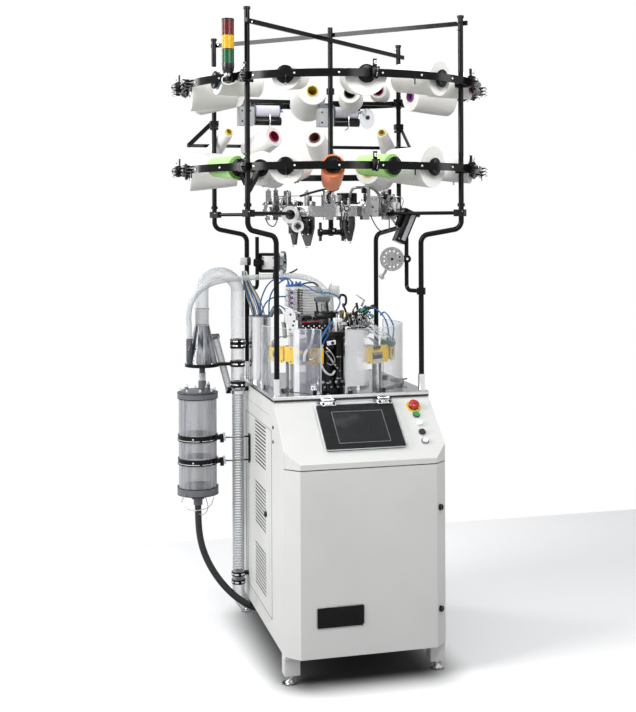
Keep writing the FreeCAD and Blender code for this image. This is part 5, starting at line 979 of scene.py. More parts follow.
def make_left_casting():
    """Screws, levers and labels of the black castings left of and in front of the dial."""
    black = Piece("head_left_black", "casting", "casting_black")
    steel = Piece("head_left_steel", "screw", "machined_steel")
    red = Piece("head_red_line", "red", "casting_black")
    white = Piece("head_left_white", "white", "valve_white")
    black.block((104, 16, 22), frame_at((-98, -112, 1254), (1, 0, 0.05)), 2)
    black.block((46, 20, 60), (-60, -112, 1236), 3)
    black.block((30, 30, 40), frame_at((-128, -104, 1262), (1, 0.3, 0)), 3)
    red.block((84, 1.6, 3), frame_at((-108, -121, 1258), (1, 0, 0.05)), 0.3)
    for number in range(9):
        x = -146 + 11 * number
        bolt_head(steel, (x, -118, 1240 - number % 2 * 8), (0, -1, 0.2), 3.6, 5)
        pin = [(0, 0), (4, 0), (4, 10), (2.5, 14), (0, 14)]
        black.turned(pin, place((x, -112, 1264), (0.1, -0.4, 1)), 12)
        if number % 3 == 1:
            steel.rod(3, 20, place((x, -116, 1224), (0, -0.3, -1)), 10)
    white.block((14, 12, 62), (-24, -146, 1242), 2)
    white.block((20, 16, 16), (-4, -134, 1262), 2)
    steel.turned([(0, 0), (6, 0), (6, 30), (4, 34), (4, 60), (0, 60)], (0, -120, 1232), 16)
    steel.rod(4, 54, (-42, -130, 1216), 14)
    red.block((5, 2, 9), (-30, -153, 1226), 0.5)
    # front drive case: chrome edges, rollers and the hanging hook
    black.block((96, 20, 20), (-46, -190, 1214), 3)
    black.rod(15, 190, (-72, -206, 1006), 24)
    black.rod(11, 178, (-30, -208, 1010), 24)
    for x, r, z in ((-72, 16.5, 1030), (-72, 16.5, 1150), (-30, 12.5, 1046), (-30, 12.5, 1128)):
        ring_of(steel, (x, -206 if x < -50 else -208, z), (0, 0, 1), r - 2, r, 5)
    white.block((34, 6, 16), frame_at((-62, -232, 1186), (1, 0, 0.12)), 1.5)
    disc(black, (-58, -235.5, 1186), (0, -1, 0), 6, 2, 18)
    for number, (x, z) in enumerate(((-84, 1150), (-76, 1138), (-68, 1126), (-60, 1114))):
        bar(steel, (x, -228, z), (x + 34, -236, z - 40), 3.2, 3.2, 0.5)
        disc(black, (x + 34, -240, z - 40), (0, 1, 0), 5, 6, 14)
    steel.tube([(-84, -238, 1170), (-66, -246, 1150), (-52, -246, 1122), (-64, -244, 1104),
                (-82, -240, 1110)], 2.0, 8)
    steel.turned([(0, 0), (13, 0), (13, 8), (9, 12), (9, 20), (0, 20)], (-10, -262, 1178), 20)
    steel.rod(6.2, 172, (-10, -262, 1004), 18)
    steel.turned([(0, 0), (11, 0), (11, 6), (7, 9), (0, 9)], (-10, -262, 1000), 20)
    for x in (-92, -66, -40, -18):
        bolt_head(steel, (x, -214, 1036), (0, -1, 0), 6, 6)
        bolt_head(steel, (x + 6, -216, 1018), (0, -1, 0), 4.4, 5)
        black.block((16, 18, 12), frame_at((x + 4, -218, 1026), (1, 0.2, 0.1)), 2)
    # lift bail and its cap
    black.block((64, 18, 12), (-48, -62, 1274), 3)
    bail = Piece("lift_handle_grip", "grey", "casting_black", "bail")
    bail.block((62, 14, 26), frame_at((-56, -72, 1344), (1, 0, 0), (0, -0.5, 1)), 4)
    for number in range(6):
        bail.block((3, 15, 28), frame_at((-80 + 10 * number, -72, 1344), (1, 0, 0), (0, -0.5, 1)), 1)


def make_finger_cluster():
    """The crowd of yarn levers, trimmers and springs round the right of the dial."""
    black = Piece("finger_black", "casting", "casting_black")
    steel = Piece("finger_steel", "screw", "machined_steel")
    grey = Piece("finger_grey", "aluminium", "aluminium")
    teal = Piece("finger_teal", "teal", "casting_black")
    gold = Piece("finger_gold", "brass", "machined_steel")
    for number, angle in enumerate(range(-78, 42, 8)):
        out, side, at = station(112 + number % 3 * 6, angle, 1240)
        lift = (number * 5) % 4 * 7
        black.block((34, 8, 20 + lift), frame_at(at(0, 0, 6 + lift / 2), out), 1.2)
        bar(steel, at(0, 0, 18 + lift), at(46, 0, 24 + lift - number % 3 * 16), 2.4, 6.5, 0.5)
        disc(steel, at(0, -6, 16 + lift), side, 5.2, 12, 14, 0.5)
        disc(black, at(14, -3, 20 + lift), side, 7.5, 6, 16)
        bolt_head(grey, at(30, 0, 14 + lift), UP, 4.4, 6)
        bar(black, at(8, 0, 26 + lift), at(34, 6, 44 + lift), 3.4, 5, 0.8)
        if number % 2:
            grey.turned([(0, 0), (6.5, 0), (6.5, 16), (4, 20), (0, 20)], place(at(20, 0, 26), out + UP), 16)
        if number % 3 == 0:
            bar(grey, at(-12, 0, 30), at(30, 0, 14), 12, 3)
        steel.tube([at(10, 0, 22), at(30, 0, 38), at(46, 0, 20), at(42, 0, -2)], 1.1, 6)
    for number, angle in enumerate(range(-84, 30, 6)):
        out, side, at = station(134, angle, 1206)
        bar(steel, at(), at(18, 0, 12 + number % 2 * 8), 2, 5, 0.4)
        disc(black, at(14, 0, 6), out, 4.4, 8, 12)
    # the tall parts that break the skyline, from the photo
    disc(black, (159, -34, 1303), (0.4, -1, 0.2), 9, 14, 20)
    bar(black, (159, -28, 1300), (128, -24, 1284), 8, 8, 1.5)
    bar(black, (96, -30, 1321), (102, -40, 1276), 6, 9, 1.2)
    bar(grey, (96, -30, 1352), (129, -30, 1330), 14, 3.4, 0.8)
    bar(grey, (129, -30, 1332), (116, -34, 1306), 12, 3.4, 0.8)
    bar(black, (44, -12, 1318), (60, -14, 1276), 8, 8, 1.5)
    disc(gold, (22, -70, 1262), (0, -0.3, 1), 9, 34, 18)
    disc(gold, (42, -80, 1262), (0, -0.3, 1), 7, 26, 18)
    disc(grey, (-2, -104, 1250), (0, 0, 1), 13, 22, 24)
    disc(steel, (-2, -104, 1272), (0, 0, 1), 9, 12, 20)
    grey.block((30, 26, 40), frame_at((10, -100, 1236), (1, 0.2, 0)), 3)
    for x, y, z in ((115, -52, 1290), (132, -52, 1284), (122, -60, 1270), (148, -60, 1268)):
        ring_of(teal, (x, y, z), (0.2, -1, 0.1), 5, 10, 5, 22)
        disc(steel, (x, y + 1, z), (0.2, -1, 0.1), 4, 7, 14)
    for number in range(7):
        x = 40 + 17 * number
        y = -118 + number * 6
        black.block((14, 26, 16), frame_at((x, y, 1222 + number % 2 * 8), (1, -0.2, 0)), 2)
        bolt_head(steel, (x, y - 14, 1226 + number % 2 * 8), (0, -1, 0), 4.2, 4)
        steel.block((16, 4, 8), frame_at((x + 3, y - 12, 1208), (1, -0.2, 0.3)), 0.8)
    pale = Piece("finger_cream", "valve", "valve_white")
    pale.block((18, 10, 22), (84, -76, 1284), 1.5)
    pale.block((26, 8, 12), (16, -128, 1248), 1.5)
    pale.block((12, 8, 16), frame_at((56, -96, 1252), (1, 0.2, 0)), 1.5)
    chute = Piece("yarn_chutes", "chute", "clear_guard")
    for start, end in (((127, -120, 1240), (186, -150, 1176)), ((146, -112, 1236), (200, -140, 1186)),
                       ((110, -128, 1232), (160, -168, 1180))):
        bar(chute, start, end, 16, 3, 0.6, (0.4, -0.6, 0.7))
    block = Piece("yarn_sensor_block", "dark_green", "casting_black")
    block.block((52, 20, 20), frame_at((180, -172, 1172), (1, -0.1, -0.25)), 2)
    block.block((8, 8, 30), (178, -180, 1180), 1)


def make_plate_trim():
    """Edge, screws, cable glands and small clamps on the working plate."""
    steel = Piece("plate_screws", "screw", "plate_metal")
    black = Piece("plate_clamps", "casting", "casting_black")
    for x in (-270, -90, 90, 270):
        for y in (-286, 362):
            bolt_head(steel, (x, y, PLATE_TOP - 0.4), UP, 5.5, 3.4)
    for angle in range(-170, 190, 40):
        bolt_head(steel, polar(141, angle, PLATE_TOP + 13.6), UP, 5, 4)
    for angle in (-172, -146, -118, -90, -60, -30, 0, 22):
        spot = polar(285, angle, PLATE_TOP + 5)
        black.block((22, 12, 10), frame_at(spot - polar(10, angle), polar(1, angle)), 1.5)
        bolt_head(steel, spot - polar(13, angle) + UP * 4, UP, 3.6, 3)
    black.tube([polar(262, angle, PLATE_TOP + 3.2) for angle in range(-52, 14, 6)], 2.6, 8)
    black.tube([polar(268, angle, PLATE_TOP + 3.2) for angle in range(-168, -120, 6)], 2.2, 8)
    black.block((26, 16, 14), frame_at((266, -60, PLATE_TOP + 7), (1, 0.3, 0)), 2)
    disc(black, (272, -46, PLATE_TOP + 4), (0.3, -1, 0), 9, 14, 18)
    bar(black, (268, -60, PLATE_TOP + 12), (292, -76, PLATE_TOP + 18), 5, 5, 1)
    disc(steel, (270, -61, PLATE_TOP + 14), (0, 0, 1), 5, 5, 16)
    for x, y in ((-210, -120), (-196, -150), (-240, -90)):
        disc(black, (x, y, PLATE_TOP), (0, 0, 1), 9, 7, 18)
        disc(steel, (x, y, PLATE_TOP + 7), (0, 0, 1), 5, 4, 16)
    cables = Piece("duct_cables", "cable_grey", "unit_grey")
    blue = Piece("duct_blue_lines", "hose_blue", "hose_blue")
    pale = Piece("duct_cream_lines", "cable_cream", "unit_grey")
    for number in range(7):
        kind = number % 3
        spread = 10 * number - 30
        line = [(-262 + spread * 0.7, 168 + kind * 9, 1180), (-262 + spread * 0.8, 170 + kind * 9, 1262),
                (-280 + spread * 0.8, 182, 1330), (-300 + spread * 0.5, 214, 1392),
                (-303 + spread * 0.3, 262, 1440)]
        (cables, blue, pale)[kind].tube(line, 2.6 + kind * 0.8, 8)
    cables.tube([(-216, 150, 1262), (-206, 132, 1290), (-186, 120, 1284), (-172, 108, 1240),
                 (-172, 80, 1180)], 9, 12)
    blue.tube([(-226, 150, 1262), (-204, 120, 1306), (-176, 80, 1296), (-164, 30, 1250), (-178, -30, 1206)],
              3, 8)
    ring_of(cables, (-256, 172, 1259), (0, 0, 1), 42, 46, 4, 40)


def make_plate_edges():
    """The milled edge of the working plate with a painted highlight, and the gap below it darkened as
    painted shade.
    """
    # painted highlight: a bright metal strip on the plate's edge; painted shade: a black strip in the gap
    # below
    bright = Piece("plate_edge_painted_highlight", "painted_edge_highlight", "plate_metal")
    dark = Piece("plate_gap_painted_shade", "bezel", "plate_metal")
    front, rear = -300.6, 377.4
    bright.block((2 * SIDE_FACE, 1.0, 11), (0, front, 993), 0.3)
    dark.block((2 * SIDE_FACE - 6, 0.8, 7), (0, front + 0.2, 983), 0.2)
    for side in (-1, 1):
        strips = ((bright, 0, 993, 1.0, 11, 0.3), (dark, 0.2, 983, 0.8, 7, 0.2))
        for piece, inset, z, deep, high, bevel in strips:
            spot = (side * (SIDE_FACE - inset), (front + rear) / 2, z)
            piece.block((rear - front - 30 * inset, deep, high), frame_at(spot, (0, 1, 0)), bevel)


def make_guard_trim():
    """Painted reflection strips and bright polished edges of the bowed screens."""
    # the sliding screen's painted reflection strip starts above the plate's clamps and screws, which it
    # passes over
    for name, look, body, start, end, foot in (("narrow", "painted_reflection_narrow", "machine", -136, -130.5, 2),
                                               ("grey", "painted_reflection_grey", "machine", -130.5, -113.5, 2),
                                               ("wide", "painted_reflection_wide", "sliding_guard", -93.5, -64, 26)):
        strip = Piece("guard_painted_reflection_" + name, look, "clear_guard", body)
        part = bmesh.new()
        uv = part.loops.layers.uv.new("UVMap")
        steps = 10
        rows = []
        for step in range(steps + 1):
            angle = start + (end - start) * step / steps
            rows.append([part.verts.new(polar(GUARD_RADIUS - 2.4, angle, PLATE_TOP + rise) * MM)
                         for rise in (foot, GUARD_HEIGHT - 2)])
        for step in range(steps):
            face = part.faces.new((rows[step][0], rows[step + 1][0], rows[step + 1][1], rows[step][1]))
            for loop, (u, v) in zip(face.loops, ((step, 0), (step + 1, 0), (step + 1, 1), (step, 1))):
                loop[uv].uv = (u / steps, v)
        strip.take(part)
    for name, body, start, end in (("left", "machine", -178, -113), ("right", "sliding_guard", -94, 26)):
        rim = Piece("guard_rim_" + name, "edge", "clear_guard", body)
        count = int((end - start) / 4)
        rim.tube([polar(GUARD_RADIUS, start + (end - start) * n / count, PLATE_TOP + GUARD_HEIGHT + 0.6)
                  for n in range(count + 1)], 1.5, 6, smooth=False)
        for angle in (start, end):
            foot, head = (polar(GUARD_RADIUS, angle, PLATE_TOP + rise) for rise in (1, GUARD_HEIGHT))
            bar(rim, foot, head, 2.6, 4.6, 0.4, (1, 0, 0))


# ---------------------------------------------------------------- cabinet and console

FRONT_FACE, CONSOLE_FOOT = -523, 790
SLOPE = math.atan2(974 - CONSOLE_FOOT, -300 - FRONT_FACE)
BUTTON_X, STOP_ROW = 230, 247
BUTTON_ROWS = {"green": 205, "white": 163, "black": 121, "reset": 79}
HINGE_PLACES = (-101, 116)
LOCK_HEIGHTS = {"upper": 608, "lower": 240}
PLATE_X, PLATE_Z = -109, 248.5


def on_console(x, up_slope, lift=0.0):
    """The matrix at a spot of the sloping console: X to the right, Y up the slope, Z out of it."""
    spot = mm(x, FRONT_FACE + up_slope * math.cos(SLOPE) - lift * math.sin(SLOPE),
              CONSOLE_FOOT + up_slope * math.sin(SLOPE) + lift * math.cos(SLOPE))
    return Matrix.Translation(spot) @ Matrix.Rotation(SLOPE, 4, "X")


def rounded(width, height, radius, steps=6):
    """Outline points of a rectangle with round corners, in millimetres."""
    points = []
    for cx, cy, start in ((1, 1, 0), (-1, 1, 90), (-1, -1, 180), (1, -1, 270)):
        for step in range(steps + 1):
            turn = math.radians(start + 90 * step / steps)
            points.append((cx * (width / 2 - radius) + radius * math.cos(turn),
                           cy * (height / 2 - radius) + radius * math.sin(turn)))
    return points


def make_cabinet_trim():
    """Seams, screws, side lock, bare name plate, bolts and levelling feet of the cabinet."""
    dark = Piece("side_lock_and_screws", "bezel", "cabinet_paint")
    disc(dark, (-302.5, -168, 538), (-1, 0, 0), 11, 7, 24, 2)
    dark.block((3, 4, 16), (-310, -168, 538), 0.6)
    for z in (888, 835):
        disc(dark, (-302.5, -300, z), (-1, 0, 0), 6.5, 3.5, 18, 1)
    for y in (-234, 214):
        for z in (200, 830):
            disc(dark, (302.5, y, z), (1, 0, 0), 6.5, 3.5, 18, 1)
    disc(dark, (302.5, -60, 538), (1, 0, 0), 11, 7, 24, 2)
    seam = Piece("side_seams", "gap", "cabinet_paint")
    for side in (-1, 1):
        x = side * SIDE_FACE
        for y in (-268, 236):
            seam.block((0.8, 1.6, 700), (x, y, 520), 0)
        for z in (170, 870):
            seam.block((0.8, 504, 1.6), (x, -16, z), 0)
    plate = Piece("bare_door_plate", "plate_black", "terminal_dark", "door")
    seat = frame_at((PLATE_X, FRONT_FACE, PLATE_Z), up=(0, -1, 0))
    plate.sheet(rounded(176, 77, 9), 2.4, seat, 0.5)
    rim = Piece("bare_door_plate_rim", "screw", "chrome", "door")
    edge = [(PLATE_X + x, FRONT_FACE - 1.6, PLATE_Z + z) for x, z in rounded(173, 74, 8)]
    rim.tube(edge, 1.4, 8, smooth=False, closed=True)
    out = Vector((1, -1, 0)).normalized()
    for name, z in LOCK_HEIGHTS.items():
        ring = Piece("lock_rim_" + name, "bezel", "chrome", "lock_" + name)
        ring.turned([(7.4, 0), (10.6, 0), (10.9, 1.4), (9.6, 3), (7.4, 3)],
                    place(Vector((269.5, -507, z)) + out * 8.4, out), 28, closed=True)
    steel = Piece("foot_nuts", "chrome", "foot_steel")
    for x in (-274, 274):
        for y in (-450, 351):
            steel.turned([(0, 6), (19.5, 6), (19.5, 9), (12, 15), (8, 20), (8, 30), (0, 30)], (x, y, 0), 30)
            steel.turned([(0, 24), (10.5, 24), (10.5, 33), (0, 33)], (x, y, 0), 6)


def make_console_trim():
    """Display, cover edges, hinge blocks, button caps and collars."""
    line = Piece("display_line", "line", "terminal_dark")
    for side in (-1, 1):
        line.block((194.6, 1.7, 0.7), on_console(2, 157 + 74 * side, 8.3), 0.2)
        line.block((1.7, 148, 0.7), on_console(2 + 96.5 * side, 157, 8.3), 0.2)
    glass = Piece("display_sheet", "display", "terminal_dark")
    glass.block((191, 146, 0.8), on_console(2, 157, 7.4), 0.2)
    edge = Piece("cover_edges", "edge", "clear_sheet", "lid")
    for x, y, wide, tall in ((0, -113, 300, 2.4), (-154, 4, 2.6, 216), (154, 4, 2.6, 216), (0, 113, 300, 2)):
        edge.block((wide, tall, 4.4), on_console(2 + x, 162 + y, 13.1), 0.6)
    hinge = Piece("cover_hinge_leaves", "chrome", "clear_sheet", "lid")
    caps = Piece("cover_hinge_screws", "bezel", "clear_sheet", "lid")
    for x in HINGE_PLACES:
        hinge.block((58, 20, 5), on_console(x, 262, 17.4), 1.4)
        for across in (-20, 20):
            caps.turned([(0, 0), (5.4, 0), (5.4, 4), (4, 6), (0, 6)], on_console(x + across, 260, 19.6), 16)
            hinge.collar(5.6, 7.4, 0, 2.4, on_console(x + across, 260, 19.6), 18)
    fixed = Piece("cover_hinge_bases", "bezel", "chrome")
    for x in HINGE_PLACES:
        fixed.block((24, 9, 9), on_console(x, 291, 5), 1.5)
        for across in (-31, 31):
            fixed.block((10, 16, 8), on_console(x + across, 286, 4.2), 1.5)
    yellow = Piece("stop_collar_ring", "stop_yellow", "chrome")
    seat = on_console(BUTTON_X, STOP_ROW)
    yellow.turned([(21, 0), (29, 0), (29, 1.6), (27.4, 3.4), (22, 3.4), (21, 3)], seat, 40, closed=True)
    mushroom = Piece("stop_mushroom", "stop", "stop_red", "stop", "emergency_stop", sharp=50)
    mushroom.turned([(0, -8), (10.9, -8), (10.9, 7), (13, 8), (18.4, 8.2), (20, 10), (20, 15), (18.8, 18.6),
                     (15, 21.6), (9, 22.8), (0, 23)], seat, 44)
    arrows = Piece("stop_arrows", "stop_dark", "stop_red", "stop")
    for turn in (90, 210, 330):
        spin = seat @ Matrix.Rotation(math.radians(turn), 4, "Z")
        arrows.block((9, 1.8, 0.6), spin @ Matrix.Translation((0, 12.4 * MM, 22.6 * MM))
                     @ Matrix.Rotation(math.radians(-14), 4, "X"), 0.2)
    black = Piece("button_rings_black", "black", "chrome")
    chrome = Piece("button_rings_chrome", "chrome", "chrome")
    profile = [(11.2, 0), (14.6, 0), (14.6, 2.6), (13.4, 4.4), (11.2, 4.6)]
    for name, row in BUTTON_ROWS.items():
        seat = on_console(BUTTON_X, row)
        (chrome if name == "white" else black).turned(profile, seat, 36, closed=True)
        look = "pale" if name == "reset" else name
        cap = Piece(name + "_cap", look, "button_" + look, name)
        cap.turned([(0, 9.2), (5, 9.0), (8.6, 9.3), (10.0, 9.7), (10.7, 9.2), (10.8, 8), (0, 8)], seat, 32)


# ---------------------------------------------------------------- creel

HOOP_OUTER = 598
UPRIGHT_X, UPRIGHT_Y = 409, 374
ELASTIC_STARTS = {"left": -236, "right": 112}
SIGNAL_RADIUS, SIGNAL_ANGLE = 619, -141


def make_hoop_trim():
    """Bolts, eyelets, hook clusters and disc holders round the two hoops."""
    bolts = Piece("hoop_bolts", "white", "chrome")
    black = Piece("hoop_hooks", "clamp", "clamp_black")
    wire = Piece("hoop_wires", "wire", "chrome")
    eyes = Piece("hoop_eyelets", "valve", "valve_white")
    for level in HOOP_LEVELS.values():
        for angle in range(0, 360, 15):
            out, side, at = station(HOOP_OUTER, angle, level)
            bolt_head(bolts, polar(HOOP_OUTER - 0.5, angle + 3, level), out, 3.6, 3.6, socket=False)
            if angle % 45 == 0:
                black.block((14, 26, 26), frame_at(at(14, 0, 2), out), 2)
                for across, up in ((-9, 14), (9, 14), (0, -16)):
                    ring_of(black, at(14, across, up), side, 3.4, 7.5, 5, 18)
                ring_of(eyes, at(16, 0, 34), out, 3.2, 6.4, 5, 18)
                bar(black, at(14, 0, 10), at(14, 0, 29), 7, 5, 1)
                wire.tube([at(18, 0, 8), at(32, 4, 12), at(36, 0, -2), at(28, 0, -14), at(18, 0, -12)],
                          1.3, 6)
            elif angle % 45 == 15:
                bar(black, at(3, 0, -6), at(3, 0, -34), 6, 4, 0.8, (1, 0, 0))
                ring_of(wire, at(3, 0, -38), out, 3.4, 5.4, 3, 18)
        # crowded hook stacks at the ends of the hoops, which the photo shows edge on
        for angle in (168, 180, 192, -12, -2, 8):
            for row in (-1, 0, 1):
                out, side, at = station(HOOP_OUTER + 8, angle, level + 13 * row)
                black.block((16, 12, 9), frame_at(at(), out), 1.5)
                ring_of(black, at(12), UP, 3.2, 6.6, 4, 16)
                wire.tube([at(6), at(20, 3), at(24, 0, -4), at(14, -3, -6)], 1.1, 6)
    discs = Piece("holder_discs", "clamp", "clamp_black")
    pins = Piece("holder_pins", "screw", "chrome")
    for _, size, base, ahead, _ in bobbin_places():
        wide = 0.6 if size == "small" else 1.0
        rear = base - ahead * 14
        seat = place(rear, ahead)
        plate = [(22, -3), (30, -1), (33, 1), (33, 4), (30, 6)]
        discs.turned([(0, -3), *((radius * wide, z) for radius, z in plate), (0, 6)], seat, 32)
        discs.turned([(0, -10), (13 * wide, -10), (15 * wide, -7), (15 * wide, 0), (0, 0)], seat, 20)
        bolt_head(pins, rear - ahead * 9, -ahead, 5 * wide, 4)
        for spoke in range(3):
            turn = Matrix.Rotation(2.1 * spoke, 4, "Z") @ Matrix.Translation(mm(0, 0, 22))
            discs.block((2.4, 34 * wide, 50), place(base, ahead) @ turn, 0.6)


def make_creel_trim():
    """Small fittings on the creel's tubes, bars, elastic feeders and signal tower."""
    pole = Piece("centre_pole_collar", "clamp", "clamp_black")
    for z in HOOP_LEVELS.values():
        pole.collar(10.1, 16, -12, 12, (0, 0, z), 24)
    bolts = Piece("creel_bolts", "screw", "chrome")
    black = Piece("creel_clips", "clamp", "clamp_black")
    for side in (-1, 1):
        x = side * UPRIGHT_X
        for y in (-UPRIGHT_Y, UPRIGHT_Y):
            for z in (*HOOP_LEVELS.values(), 1676):
                bolt_head(bolts, (x, y - 12, z + 6), (0, -1, 0), 3.6, 5, socket=False)
                bolt_head(bolts, (x + side * 12, y, z - 4), (side, 0, 0), 3.6, 5, socket=False)
            black.collar(10.1, 14, 0, 12, (x, y, 1700), 24)
            black.collar(10.1, 13, 0, 9, (x, y, 2410), 24)
            for z in (2364, 2394):
                bolt_head(bolts, (x - side * 16, y - 6, z), (0, -1, 0), 3, 4, socket=False)
        for z in (2040, 2060):
            black.block((32, 36, 12), (x, UPRIGHT_Y, z), 3)
            black.rod(6, 10, place((x - 8, UPRIGHT_Y - 18, z), (0, -1, 0)), 14)
    # elastic feeders
    case = Piece("elastic_cases", "pale_grey", "unit_grey")
    dark = Piece("elastic_brackets", "clamp", "clamp_black")
    roller = Piece("elastic_rollers", "casting", "clamp_black")
    steel = Piece("elastic_clips", "wire", "chrome")
    for start in ELASTIC_STARTS.values():
        case.block((66.6, 52.6, 78.6), (start - 37, UPRIGHT_Y, 2094.6), 2)
        for dx, dz in ((-20, 22), (14, 22), (-20, -22)):
            bolt_head(dark, (start - 37 + dx, 347.6, 2094 + dz), (0, -1, 0), 4, 2)
        dark.block((134, 7, 24), (start + 63, 407, 2141), 1)
        dark.block((128, 10, 9), (start + 60, UPRIGHT_Y, 2148), 1.5)
        bar(dark, (start - 6, UPRIGHT_Y, 2140), (start + 10, UPRIGHT_Y, 2148), 10, 8, 1)
        ring_of(dark, (start + 118, 378, 2158), (0, -1, 0), 3.5, 7, 4, 18)
        ring_of(dark, (start + 116, 378, 2132), (0, -1, 0), 3.5, 7, 4, 18)
        roller.turned([(0, 0), (17.6, 0), (18.2, 2), (18.2, 112), (17.6, 114), (0, 114)],
                      place((start, UPRIGHT_Y, 2075.6), (1, 0, 0)), 28)
        steel.block((6, 4, 46), (start + 64, 352, 2078), 1)
        steel.tube([(start + 64, 352, 2060), (start + 56, 346, 2046), (start + 44, 344, 2040)], 2.4, 8)
    for name, start in ELASTIC_STARTS.items():
        flange = Piece("elastic_flange_" + name, "flange_blue", "hose_blue", name + "_spool")
        for x in (start + 1.2, start + 105.4):
            ring_of(flange, (x, UPRIGHT_Y, 2118), (1, 0, 0), 6, 26.4, 3, 32)
    clear_disc = Piece("elastic_clear_disc", "cover_disc", "clear_sheet")
    disc(clear_disc, (262, 366, 2094), (0.5, -1, 0), 44, 2.4, 40, 0.3)
    hub = Piece("elastic_disc_hub", "clamp", "clamp_black")
    disc(hub, (262, 366, 2098), (0.5, -1, 0), 9, 10, 20)
    bar(hub, (252, 366, 2104), (236, 372, 2126), 12, 9, 1.5)
    # signal tower: collars between the lenses, and its cable
    spot = polar(SIGNAL_RADIUS, SIGNAL_ANGLE)

    def near(z, x=0, y=0):
        return spot.x + x, spot.y + y, z

    tower = Piece("signal_collars", "bezel", "signal_black")
    for z in (2209, 2260, 2311, 2361):
        tower.collar(21.4, 22.6, 0, 2.2, near(z), 36)
    tower.turned([(0, 0), (22.6, 0), (22.6, 3), (20.5, 7), (0, 7.6)], near(2362.6), 36)
    tower.turned([(8, -40), (16, -36), (22, -22), (22.4, 0), (8, 0)], near(2210), 30, closed=True)
    cup = Piece("signal_cup", "wire", "signal_black")
    cup.turned([(6, -34), (14, -33), (15.5, -24), (15.5, -14), (6, -14)], near(2196), 24, closed=True)
    cable = Piece("signal_cable", "cable_white", "clamp_black")
    cable.tube([near(2166, -4), near(2158, -22, -8), near(2140, -20, -10), near(2134, 4, -12),
                near(2150, 40, -6), near(2146, 62, 4)], 2.2, 8)


# ---------------------------------------------------------------- feeder ring and arms

FEEDER_ANGLES = (-168, -106, -74, -20, 12, 66, 96, 122, 160)
LEVER_ANGLES = (-150, -92, -44, -4, 38, 80, 110, 140)
FEEDER_RADIUS = 232
FEEDER_HEIGHT = 1692
RIGHT_WHEEL, RIGHT_AXIS = (186, -214, 1500), (-0.25, -0.97, 0)
LEFT_WHEEL, LEFT_AXIS = (-152, 196, 1478), (0.93, -0.37, 0)


def make_feeder_trim():
    """Levers, clamps, magnets, tubes and cables of the yarn feeders on the ring."""
    grey = Piece("feeder_castings", "cast_grey", "aluminium")
    steel = Piece("feeder_steel", "screw", "machined_steel")
    black = Piece("feeder_black", "casting", "casting_black")
    pale = Piece("feeder_pale", "valve", "valve_white")
    for number, angle in enumerate(FEEDER_ANGLES + LEVER_ANGLES):
        out, _, at = station(FEEDER_RADIUS + 10, angle, FEEDER_HEIGHT)
        high = 14 + (number * 7) % 5 * 11
        grey.block((30, 34, 26), frame_at(at(6, 0, 4), out), 3)
        grey.block((18, 14, high + 20), frame_at(at(0, 12, 12 + high / 2), out), 2)
        steel.turned([(0, 0), (6, 0), (6, high), (4, high + 6), (0, high + 6)], at(0, 12, 22), 16)
        grey.block((26, 10, 40), frame_at(at(0, -14, 18 - number % 3 * 8), out + UP * 0.2), 2)
        bar(steel, at(0, -20, 26), at(30, -8, 30 - number % 4 * 10), 3, 8)
        disc(black, at(18, 0, 2), out, 10, 7, 20)
        disc(pale, at(24, 0, 2), out, 6, 3, 18)
        black.block((12, 16, 22), frame_at(at(0, 2, high + 14), out), 2)
        for across, up in ((12, 10), (-12, -8)):
            bolt_head(steel, at(22, across, up), out, 4.4, 4)
        for across in (-12, 0, 10):
            steel.rod(2.4, 26, place(at(0, across, -14), out * 0.2 - UP), 8)
        if number % 2:
            steel.tube([at(0, 0, 30), at(22, 0, 52), at(46, 14, 40), at(40, 22, 10)], 1.6, 8)
            bar(black, at(0, 0, 20), at(0, 34, 26), 5, 5, 1)
    # the tall right-hand castings and the grey box behind the middle
    pale.block((36, 30, 78), frame_at((112, -206, 1704), (1, 0.15, 0)), 3)
    grey.block((46, 34, 60), frame_at((196, -150, 1694), (1, 0.4, 0)), 4)
    grey.block((40, 22, 26), frame_at((232, -108, 1706), (1, 0.4, 0)), 3)
    black.block((70, 46, 44), frame_at((24, -150, 1734), (1, 0.1, 0)), 5)
    grey.block((22, 22, 96), (-74, -210, 1716), 3)
    grey.block((28, 24, 60), (-30, -214, 1716), 3)
    for x, z in ((104, 1730), (120, 1730), (104, 1684), (120, 1684)):
        bolt_head(steel, (x, -222, z), (0.15, -1, 0), 4, 3)
    grey.tube([(20, -190, 1716), (32, -200, 1768), (70, -196, 1776), (120, -180, 1772), (148, -176, 1744),
               (150, -176, 1706)], 5.5, 12)
    black.tube([(-174, -200, 1742), (-120, -196, 1758), (-74, -190, 1768), (-20, -180, 1772),
                (-6, -60, 1766)], 4.6, 10)
    black.tube([(-20, -170, 1748), (10, -190, 1724), (60, -210, 1712), (110, -224, 1700)], 4.0, 10)
    steel.tube([(166, -60, 1744), (249, -60, 1746)], 2.6, 8, smooth=False)
    steel.tube([(-254, -120, 1742), (-150, -160, 1744), (-40, -170, 1742)], 1.6, 8)
    # hanging cable loops
    black.tube([(90, -232, 1690), (100, -244, 1650), (126, -246, 1612), (166, -230, 1606), (180, -200, 1640),
                (184, -180, 1676)], 2.2, 8)
    black.tube([(-330, -300, 1660), (-316, -304, 1634), (-296, -300, 1630), (-280, -290, 1656)], 2.0, 8)
    pale.tube([(200, -140, 1668), (212, -170, 1640), (226, -186, 1612)], 4.2, 10)


